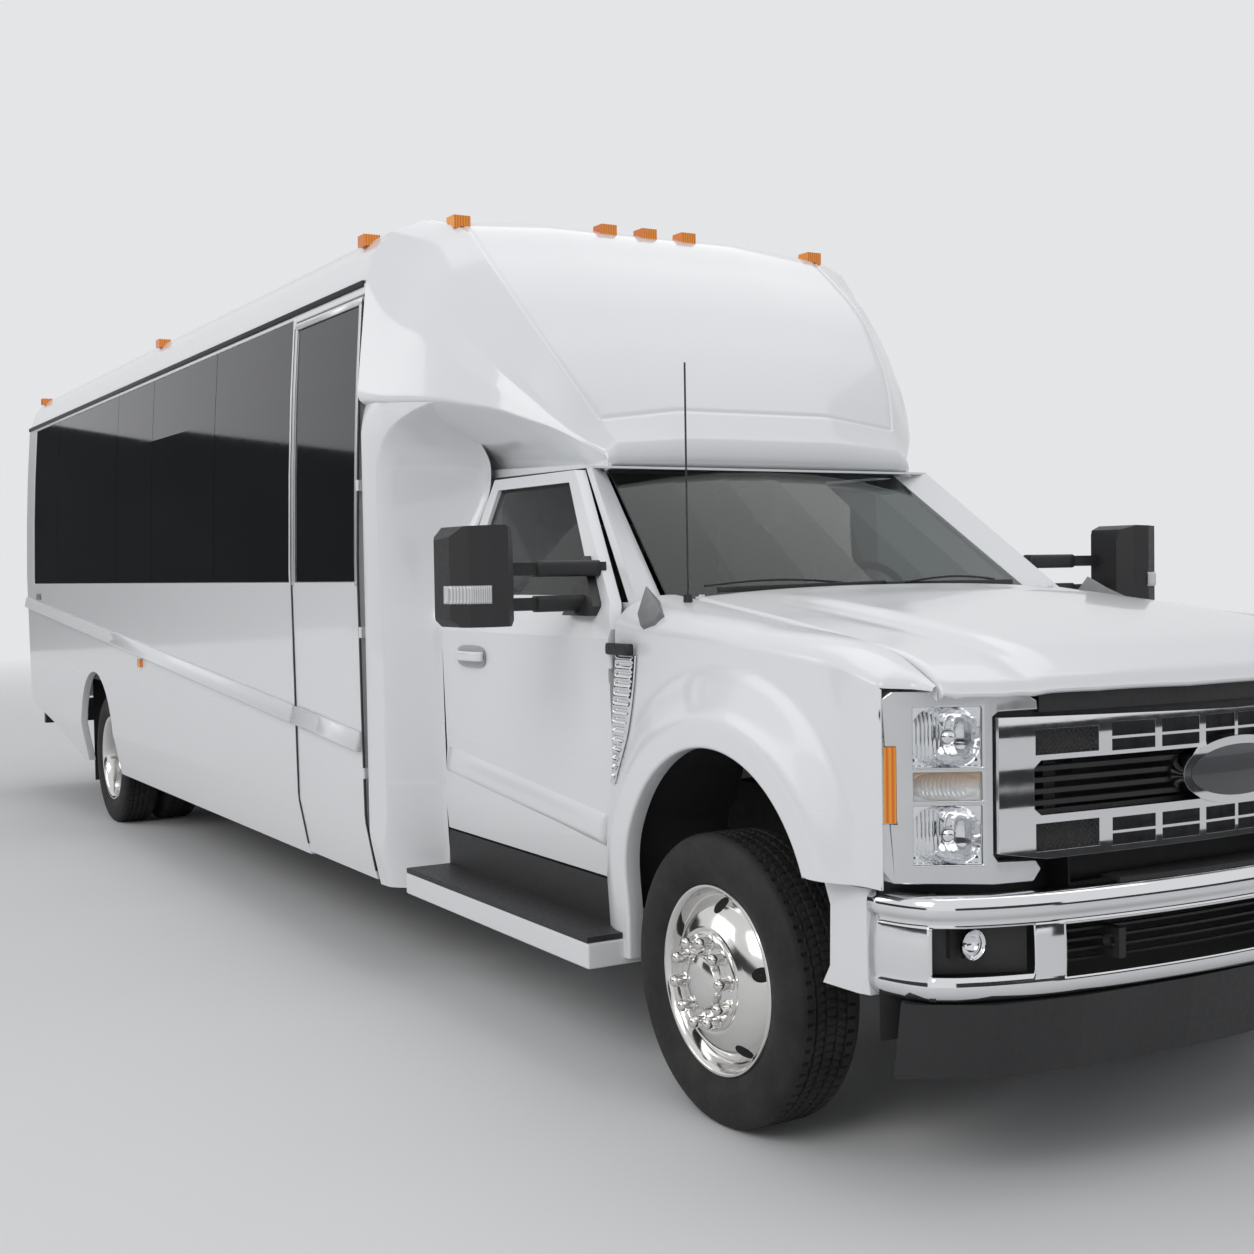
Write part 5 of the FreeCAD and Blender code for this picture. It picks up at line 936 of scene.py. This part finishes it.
def hood_front(y):
    """Where the hood's front edge lies, for each distance from the middle."""
    return np.interp(np.abs(y), (0.0, 0.17, 0.48, 0.76, 0.88, 0.925),
                     (4.908, 4.908, 4.890, 4.858, 4.822, 4.790))


def hood_surface():
    """Height falls from the middle to the edge as distance to the power 2.4, plus a raised middle.

    The middle's sides are soft, a faint crease runs beside them, and the last rows at
    the front and the last columns at the sides roll down. Length and width of a row
    hang together, and are found by coming closer six times.
    """
    rear = 3.528
    along = np.concatenate([np.linspace(0, 0.97, 72), np.linspace(0.975, 1.0, 10)])[:, None]
    across = np.linspace(-1, 1, 131)[None, :]
    y = across * 0.9
    for _ in range(6):
        x = rear + (hood_front(y) - rear) * along
        y = across * hood_edge(x)[0]
    middle = drawn(hood_rows[:, 0], hood_rows[:, 1], x)
    edge = drawn(hood_rows[:, 0], hood_rows[:, 2], x)
    z = middle - (middle - edge) * np.abs(across) ** 2.4
    raised = 0.011 * (1 - smooth_step(np.abs(y), 0.50 + 0.05 * along, 0.575 + 0.05 * along))
    z = z + raised * smooth_step(x, 3.60, 3.90) * (1 - smooth_step(x, 4.70, 4.86)) - 0.004
    z = z - 0.004 * np.exp(-((np.abs(y) - 0.62 - 0.05 * along) / 0.03) ** 2) * smooth_step(x, 3.7, 4.0)
    z = z - 0.012 * np.maximum(np.abs(across) - 0.985, 0) / 0.015
    z = z - 0.020 * smooth_step(along, 0.975, 1.0) ** 1.5
    return np.stack([x + 0 * y, y, z], axis=-1)


hood_sheet = sheet("hood_panel", hood_surface(), "hood", body_white, 50.0)
thicken(hood_sheet, "inner_panel", 0.012)
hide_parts("hood")

# Grille: a chrome-plated moulded frame, bowed in plan, with rows of slots at top and
# bottom, a wide dark mouth with bars and a plain oval at the middle. Behind it stand
# the black backing and the radiator. Clipped to the radiator frame.
grille_chrome, spot = surface("grille_chrome", {"Metallic": 1.0})
rows = spot.axis("Z").waves(5.5)
feed(grille_chrome, {
    "Base Color": spot.noise(3.0).mix((0.76, 0.77, 0.78, 1), (0.85, 0.85, 0.86, 1)),
    "Roughness": spot.noise(25.0, 5.0).between(0.3, 0.8) * 0.06 + 0.06,
    "Normal": (rows + spot.noise(2.5, 1.0) * 0.8).bump(0.006),
})
eased_copy("grille", 0.005, "body", grille_chrome, 3, 25.0)
dress(["grille_core"], matt_black)
plain_oval, spot = surface("blank_oval_enamel", {"IOR": 1.5, "Coat Weight": 0.6, "Coat Roughness": 0.05})
feed(plain_oval, {
    "Base Color": spot.noise(5.0).mix((0.05, 0.052, 0.056, 1), (0.07, 0.072, 0.078, 1)),
    "Roughness": spot.noise(30.0).between(0.2, 0.8) * 0.08 + 0.3,
})
ring, depth = np.meshgrid(np.linspace(0, 2 * np.pi, 96, endpoint=False), np.linspace(0, 1, 13), indexing="ij")
face = np.stack([4.9205 + 0.006 * (1 - depth ** 2), 0.186 * depth * np.cos(ring),
                 1.002 + 0.066 * depth * np.sin(ring)], axis=-1)
sheet("plain_oval_face", face, "body", plain_oval, wrap_rows=True)


def mesh_sheet(name, low, high, place):
    """A slanting lattice of low ridges, 15 mm apart, between a low and a high corner (y, z)."""
    across, up = np.meshgrid(np.linspace(low[0], high[0], 91), np.linspace(low[1], high[1], 43),
                             indexing="ij")
    turns = 2 * np.pi / 0.015
    weave = np.maximum(np.cos((across + up) * turns), np.cos((across - up) * turns))
    x = np.interp(np.abs(across), (0.117, 0.265, 0.445, 0.664, 0.781),
                  (0.049, 0.043, 0.032, 0.014, 0.0)) + place
    grid = np.stack([x + 0.004 * np.clip(weave, 0.2, 0.9), across, up], axis=-1)
    sheet(name, grid, "body", matt_black)


for side_name, side in (("right", -1), ("left", 1)):
    for row, low, high in (("low", 0.844, 0.916), ("high", 1.078, 1.144)):
        near, far = sorted((0.470 * side, 0.680 * side))
        mesh_sheet(f"grille_mesh_{side_name}_{row}", (near, low), (far, high), 4.828)

# Headlamps: two square reflector cells with a turn lamp between them, in a bright
# C-shaped moulding, under a clear cover. Screwed to the radiator frame.
silver, spot = surface("silver_moulding", {"Metallic": 0.85, "IOR": 1.5})
feed(silver, {
    "Base Color": spot.noise(5.0).mix((0.66, 0.67, 0.68, 1), (0.74, 0.75, 0.76, 1)),
    "Roughness": spot.noise(30.0).between(0.3, 0.8) * 0.08 + 0.20,
})
eased_copy("headlamp_frames", 0.005, "body", silver, 3, 25.0)

reflector, spot = surface("lamp_reflector", {"Metallic": 1.0})
feed(reflector, {
    "Base Color": spot.noise(8.0).mix((0.80, 0.81, 0.83, 1), (0.90, 0.90, 0.92, 1)),
    "Roughness": spot.noise(50.0).between(0.2, 0.8) * 0.05 + 0.07,
})
lamp_glass, spot = surface("lamp_glass", {"IOR": 1.15, "Transmission Weight": 1.0})
feed(lamp_glass, {
    "Base Color": spot.noise(3.0).mix((0.96, 0.97, 0.97, 1), (0.99, 0.99, 0.99, 1)),
    "Roughness": spot.noise(30.0).between(0.3, 0.9) * 0.02,
})
turn_glass, spot = surface("turn_lamp_flutes", {"IOR": 1.5, "Coat Weight": 0.5})
feed(turn_glass, {
    "Base Color": spot.axis("Z").between(1.00, 1.046).mix((0.72, 0.73, 0.74, 1), (0.62, 0.40, 0.22, 1)),
    "Roughness": spot.noise(40.0).between(0.2, 0.8) * 0.08 + 0.12,
})


def lamp_front(y):
    """The raked front of the lamp moulding, at a distance from the middle."""
    return np.interp(np.abs(y), (0.600, 0.787, 0.941, 1.014), (4.863, 4.843, 4.751, 4.704))


# low and high edge of each cell, how deep it is, flutes across
cells = ((0.8245, 0.9655, 0.085, 11), (0.9785, 1.0455, 0.030, 16), (1.0585, 1.2025, 0.085, 11))
for side_name, side in (("right", -1), ("left", 1)):
    for number, (low, high, deep, flutes) in enumerate(cells):
        y, z = np.meshgrid(np.linspace(0.8065, 0.9475, 81), np.linspace(low, high, 55), indexing="ij")
        across = (y - 0.877) / 0.0705
        up = (z - (low + high) / 2) / ((high - low) / 2)
        round_share = np.clip(1 - (np.abs(across) ** 2.6 + np.abs(up) ** 2.6), 0, 1)
        flute = 0.0030 * np.abs(np.sin(flutes * np.pi * across / 2)) * (0.3 + round_share)
        step = 0.004 * np.floor(4 * np.abs(up)) / 4
        back = np.maximum(lamp_front(y) - 0.012 - deep * round_share ** 0.5 + flute + step, 4.7215 + flute)
        sheet(f"lamp_bowl_{side_name}_{number}", np.stack([back, side * y, z], axis=-1), "body",
              turn_glass if number == 1 else reflector, 60.0, side < 0)
        if number != 1:
            turn, tip = np.meshgrid(np.linspace(0, 2 * np.pi, 32, endpoint=False),
                                    np.linspace(0, np.pi / 2, 10), indexing="ij")
            middle = (low + high) / 2
            place = 4.775 if number == 2 else 4.772
            dome = np.stack([place + 0.022 * np.cos(tip), side * 0.868 + 0.021 * np.sin(tip) * np.cos(turn),
                             middle + 0.021 * np.sin(tip) * np.sin(turn)], axis=-1)
            sheet(f"lamp_shield_{side_name}_{number}", dome, "body", chrome, wrap_rows=True)
    y, z = np.meshgrid(np.linspace(0.8045, 0.9495, 30), np.linspace(0.8225, 1.2045, 40), indexing="ij")
    cover = sheet("lamp_cover_" + side_name, np.stack([lamp_front(y) - 0.004, side * y, z], axis=-1), "body",
                  lamp_glass, flip=side < 0)
    thicken(cover, "thickness", 0.002)
    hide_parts("headlamp_lenses")
    # the fog lamps, each line as (radius, depth)
    bowl_line = np.array([(0.0, -0.028), (0.012, -0.027), (0.022, -0.020), (0.030, -0.010), (0.034, 0.0),
                          (0.0365, 0.004), (0.0368, -0.004)])
    glass_line = np.array([(0.0, 0.010), (0.010, 0.0095), (0.020, 0.007), (0.028, 0.003), (0.034, -0.002),
                           (0.034, -0.004), (0.020, 0.004), (0.0, 0.0075)])
    for name, line, material in (("fog_bowl_", bowl_line, reflector), ("fog_glass_", glass_line, lamp_glass)):
        turn = np.linspace(0, 2 * np.pi, 48, endpoint=False)[:, None]
        grid = np.stack([4.828 + line[None, :, 1] + 0 * turn, side * 0.840 + line[None, :, 0] * np.cos(turn),
                         0.635 + line[None, :, 0] * np.sin(turn)], axis=-1)
        sheet(name + side_name, grid, "body", material, wrap_rows=True)

# Bumper: a pressed steel bar in bright chrome with painted ends, a step pad on top,
# round fog lamps in black bezels, and a black air dam below. Bolted to the frame.
bumper_plan = (
    # place along the bus, half width: the bar's front line from its end to the middle
    (4.631, 1.0035), (4.650, 0.9985), (4.705, 0.985), (4.770, 0.957), (4.822, 0.905), (4.856, 0.840),
    (4.885, 0.760), (4.912, 0.660), (4.936, 0.520), (4.950, 0.400), (4.962, 0.250), (4.968, 0.120),
    (4.969, 0.0))
bumper_section = np.array([
    # set back, height
    (0.062, 0.7555), (0.034, 0.7560), (0.022, 0.7530), (0.011, 0.7460), (0.004, 0.7360), (0.001, 0.7240),
    (0.001, 0.7120), (0.004, 0.7030), (0.010, 0.6970), (0.013, 0.6900), (0.012, 0.6800), (0.011, 0.6780),
    (0.010, 0.6720), (0.007, 0.6400), (0.006, 0.6100), (0.006, 0.5800), (0.007, 0.5600), (0.008, 0.5450),
    (0.006, 0.5400), (0.006, 0.5300), (0.009, 0.5180), (0.015, 0.5080), (0.024, 0.4990), (0.036, 0.4930),
    (0.052, 0.4915)])


def bumper_surface():
    """The section carried square to the plan line, and the faces inside the three openings left out.

    Grid lines run along each opening's edges, so that they are cut clean.
    """
    plan = np.array(bumper_plan)
    mouth_end, fog_near, fog_far = 0.620, 0.705, 0.940
    half = np.unique(np.concatenate([np.linspace(0, 1.0035, 110), [mouth_end, fog_near, fog_far]]))
    ahead_of = drawn(-plan[:, 1], plan[:, 0], -half)
    run = np.gradient(np.stack([ahead_of, half], axis=1), axis=0)
    run /= np.linalg.norm(run, axis=1)[:, None]
    outward = np.stack([run[:, 1], -run[:, 0]], axis=1)
    back, high = bumper_section[None, :, 0], bumper_section[None, :, 1]
    x = ahead_of[:, None] - outward[:, :1] * back
    y = half[:, None] - outward[:, 1:] * back * smooth_step(half, 0.0, 0.1)[:, None]
    one = np.stack([x, y, high + 0 * x], axis=-1)
    whole = np.concatenate([one[:0:-1] * (1, -1, 1), one])
    faces = grid_faces(*whole.shape[:2])
    line = np.concatenate([half[:0:-1], half])
    row, column = np.divmod(faces, len(bumper_section))
    middle_y = (line[row[:, 0]] + line[row[:, 1]]) / 2
    middle_z = (bumper_section[column[:, 0], 1] + bumper_section[column[:, 2], 1]) / 2
    mouth = (middle_y < mouth_end) & (middle_z > 0.545) & (middle_z < 0.672)
    fog = (middle_y > fog_near) & (middle_y < fog_far) & (middle_z > 0.560) & (middle_z < 0.678)
    return whole, faces[~(mouth | fog)]


bumper_grid, bumper_faces = bumper_surface()
bumper_bar = new_mesh("bumper_bar", bumper_grid.reshape(-1, 3), bumper_faces[:, ::-1], "body", chrome,
                      50.0)
bumper_bar.data.materials.append(matt_black)
thicken(bumper_bar, "steel", 0.007).material_offset = 1
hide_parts("front_bumper")
# A flat black sheet across the front behind the bumper and below the grille: painted shade standing in for
# the dark space behind them.
across = np.linspace(-0.985, 0.985, 80)[:, None]
up = np.array([0.385, 0.497, 0.60, 0.70, 0.80, 0.838])[None, :]
shade_sheet_x = np.interp(np.abs(across), (0.80, 0.90, 0.985), (4.690, 4.680, 4.655)) + 0 * up
shade_sheet = np.stack([shade_sheet_x, across + 0 * up, up + 0 * across], axis=-1)
sheet("painted_shade_backing", shade_sheet, "body", matt_black)
line = np.linspace(-0.61, 0.61, 41)
bar_x = drawn([-half for _, half in bumper_plan], [ahead for ahead, _ in bumper_plan], -np.abs(line)) - 0.090
for number in range(5):
    path = np.stack([bar_x, line, np.full(len(line), 0.560 + 0.025 * number)], axis=1)
    strip(f"mouth_bar_{number}", path, bar(0.006, 0.004), "body", matt_black)
eased_copy("bumper_ends", 0.010, "body", gloss_white, 3, 25.0)
dress(["bumper_trim", "air_dam"], matt_black)

# Mirrors: big two-armed towing mirrors in textured black plastic, with a ribbed turn
# lamp let into each head and sleeves over the arms. Clamped to the doors.
for side_name in ("right", "left"):
    eased_copy("mirror_" + side_name, 0.012, "cab_door_" + side_name, matt_black, 4, 25.0)

mirror_lamp, spot = surface("mirror_turn_lamp", {"IOR": 1.5, "Coat Weight": 0.8})
feed(mirror_lamp, {
    "Base Color": spot.axis("Y").waves(160.0).mix((0.42, 0.42, 0.42, 1), (0.72, 0.72, 0.73, 1)),
    "Roughness": spot.noise(50.0).between(0.2, 0.8) * 0.08 + 0.12,
})
for side_name, side in (("right", -1), ("left", 1)):
    plan = np.array([(3.3735, 1.392), (3.3725, 1.405), (3.363, 1.432), (3.3525, 1.456), (3.325, 1.473),
                     (3.293, 1.4925), (3.255, 1.4965)])
    line = drawn(np.arange(7), plan, np.linspace(0, 6, 40))
    z = np.linspace(1.448, 1.503, 14)
    edge = np.abs(np.linspace(-1, 1, len(z)))[None, :] ** 6
    grid = np.stack([line[:, None, 0] + 0.003 - 0.004 * edge,
                     side * (line[:, None, 1] + 0.002 - 0.002 * edge),
                     np.broadcast_to(z, (len(line), len(z)))], axis=-1)
    lamp_strip = sheet("mirror_lamp_" + side_name, grid, "cab_door_" + side_name, mirror_lamp,
                       flip=side < 0)
    thicken(lamp_strip, "depth", 0.006)
    for number, (height, near) in enumerate(((1.440, 0.975), (1.550, 0.935))):
        inner = [(3.198, side * y, height) for y in np.linspace(near, 1.16, 9)]
        strip(f"mirror_arm_sleeve_{side_name}_{number}", inner, bar(0.024, 0.026, 0.5),
              "cab_door_" + side_name, matt_black)

# Sills: white painted steel rocker panels with black plastic running boards on top,
# screwed to brackets on the frame. The thin antenna on the right wing is black too.
eased_copy("rocker_panels", 0.008, "body", body_white)
dress(["running_boards", "antenna"], matt_black)

# Seats: foam pads in dark woven cloth, each swelled by a cloth simulation and tied in
# with sewn channels, on painted steel legs. Two in the cab, and thirteen double
# seats in rows behind, bolted to the floor.


def stuffed(name, low, high, voxel, most):
    """A foam pad: a rounded block, blown up as cloth under pressure, no point moved further than most."""
    low, high = np.array(low, float), np.array(high, float)
    block = bpy.data.meshes.new(name)
    shape = bmesh.new()
    bmesh.ops.create_cube(shape, size=1.0)
    shape.to_mesh(block)
    shape.free()
    corners = np.empty(24)
    block.vertices.foreach_get("co", corners)
    inset = most * 0.8
    place = (low + high) / 2 + corners.reshape(-1, 3) * (high - low - 2 * inset)
    block.vertices.foreach_set("co", place.ravel())
    piece = bpy.data.objects.new(name, block)
    bpy.context.scene.collection.objects.link(piece)
    ease = piece.modifiers.new("ease", "BEVEL")
    ease.width = min(high - low) * 0.22
    ease.segments = 4
    even = piece.modifiers.new("even", "REMESH")
    even.mode = "VOXEL"
    even.voxel_size = voxel
    even.use_smooth_shade = True
    solid = bpy.data.meshes.new_from_object(piece.evaluated_get(bpy.context.evaluated_depsgraph_get()))
    piece.modifiers.clear()
    piece.data = solid
    rest = np.empty(len(solid.vertices) * 3)
    solid.vertices.foreach_get("co", rest)
    rest = rest.reshape(-1, 3)
    moved = rest
    cloth = piece.modifiers.new("swell", "CLOTH")
    cloth.settings.use_pressure = True
    cloth.settings.uniform_pressure_force = 4.0
    cloth.settings.quality = 4
    cloth.settings.effector_weights.gravity = 0.0
    for number in range(1, 21):
        bpy.context.scene.frame_set(number)
    blown = piece.evaluated_get(bpy.context.evaluated_depsgraph_get()).to_mesh()
    moved = np.empty(len(blown.vertices) * 3)
    blown.vertices.foreach_get("co", moved)
    moved = moved.reshape(-1, 3)
    piece.modifiers.clear()
    bpy.context.scene.frame_set(1)
    step = moved - rest
    length = np.linalg.norm(step, axis=1)[:, None] + 1e-9
    shape_points = rest + step * np.minimum(1, most / length)
    return piece, np.clip(shape_points, low, high)


def channelled(points, axis, places, depth):
    """Sewn channels: points near each place along an axis are drawn in towards the pad's middle plane."""
    half_width = 0.009
    middle = points.mean(axis=0)
    pull = sum(np.exp(-((points[:, axis] - place) / half_width) ** 2) for place in places)
    thin = int(np.argmin(np.ptp(points, axis=0)))
    points[:, thin] += np.sign(middle[thin] - points[:, thin]) * depth * np.minimum(pull, 1)
    return points


seat_cloth, spot = surface("seat_cloth", {"Roughness": 0.9, "Sheen Weight": 0.3})
threads = spot.axis("Y").waves(420.0) * spot.axis("Z").waves(420.0) + spot.axis("X").waves(420.0) * 0.5
feed(seat_cloth, {
    "Base Color": (threads * 0.5 + spot.noise(30.0, 4.0) * 0.5).mix((0.016, 0.017, 0.019, 1),
                                                                    (0.055, 0.056, 0.062, 1)),
    "Normal": threads.bump(0.0004),
})
seat_steel, spot = surface("seat_leg_paint", {"IOR": 1.5})
feed(seat_steel, {
    "Base Color": spot.noise(8.0).mix((0.03, 0.03, 0.032, 1), (0.05, 0.05, 0.052, 1)),
    "Roughness": spot.noise(60.0).between(0.2, 0.8) * 0.15 + 0.4,
})
cab_spots = [(0.0, 0.0, 0.0), (0.0, 0.840, 0.0)]
row_spots = [(-0.8 * row, side * 0.8, 0.0) for row in range(7) for side in (-1, 1) if (row, side) != (0, -1)]
# name, low and high corner of the first pad, voxel, most it swells, channel axis and places, where copies
# stand, and the node that they stand for
for name, low, high, voxel, most, axis, places, spots, stand_for in (
        ("cab_cushion", (2.315, -0.668, 1.002), (2.828, -0.172, 1.128), 0.011, 0.016, 1, (-0.545, -0.295),
         cab_spots, "cab_seats"),
        ("cab_backrest", (2.162, -0.668, 1.132), (2.308, -0.172, 1.748), 0.011, 0.016, 2, (1.30, 1.42, 1.54),
         cab_spots, "cab_seats"),
        ("bench_cushion", (0.868, -0.328, 1.332), (1.308, 0.328, 1.418), 0.020, 0.012, 1, (0.0,), row_spots,
         "passenger_seats"),
        ("bench_backrest", (0.772, -0.328, 1.424), (0.858, 0.328, 2.058), 0.020, 0.012, 1, (0.0,), row_spots,
         "passenger_seats")):
    pad, points = stuffed(name, low, high, voxel, most)
    points = channelled(points, axis, places, 0.010)
    for number, offset in enumerate(spots):
        mesh = pad.data if number == 0 else pad.data.copy()
        mesh.vertices.foreach_set("co", (points + offset).ravel())
        mesh.materials.clear()
        mesh.materials.append(seat_cloth)
        mesh.polygons.foreach_set("use_smooth", [True] * len(mesh.polygons))
        mesh.update()
        piece = pad if number == 0 else bpy.data.objects.new(f"{name}_{number}", mesh)
        if number:
            bpy.context.scene.collection.objects.link(piece)
        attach(piece, "body")
        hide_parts(stand_for)
for number, place in enumerate(cab_spots):
    y = place[1] - 0.42
    strip(f"cab_seat_base_{number}", [(2.40, y, 0.902), (2.40, y, 0.998)], bar(0.18, 0.03, 0.4), "body",
          seat_steel, (0.0, 1.0, 0.0))
    strip(f"cab_seat_rail_{number}", [(2.36, y, 0.985), (2.76, y, 0.985)], bar(0.18, 0.012, 0.4), "body",
          seat_steel)
for number, (along, across, _) in enumerate(row_spots):
    for end in (0.0, 0.20):
        x = 0.96 + end + along
        strip(f"bench_leg_{number}_{int(end * 10)}", [(x, across, 0.964), (x, across, 1.328)],
              bar(0.016, 0.20, 0.4), "body", seat_steel, (0.0, 1.0, 0.0))
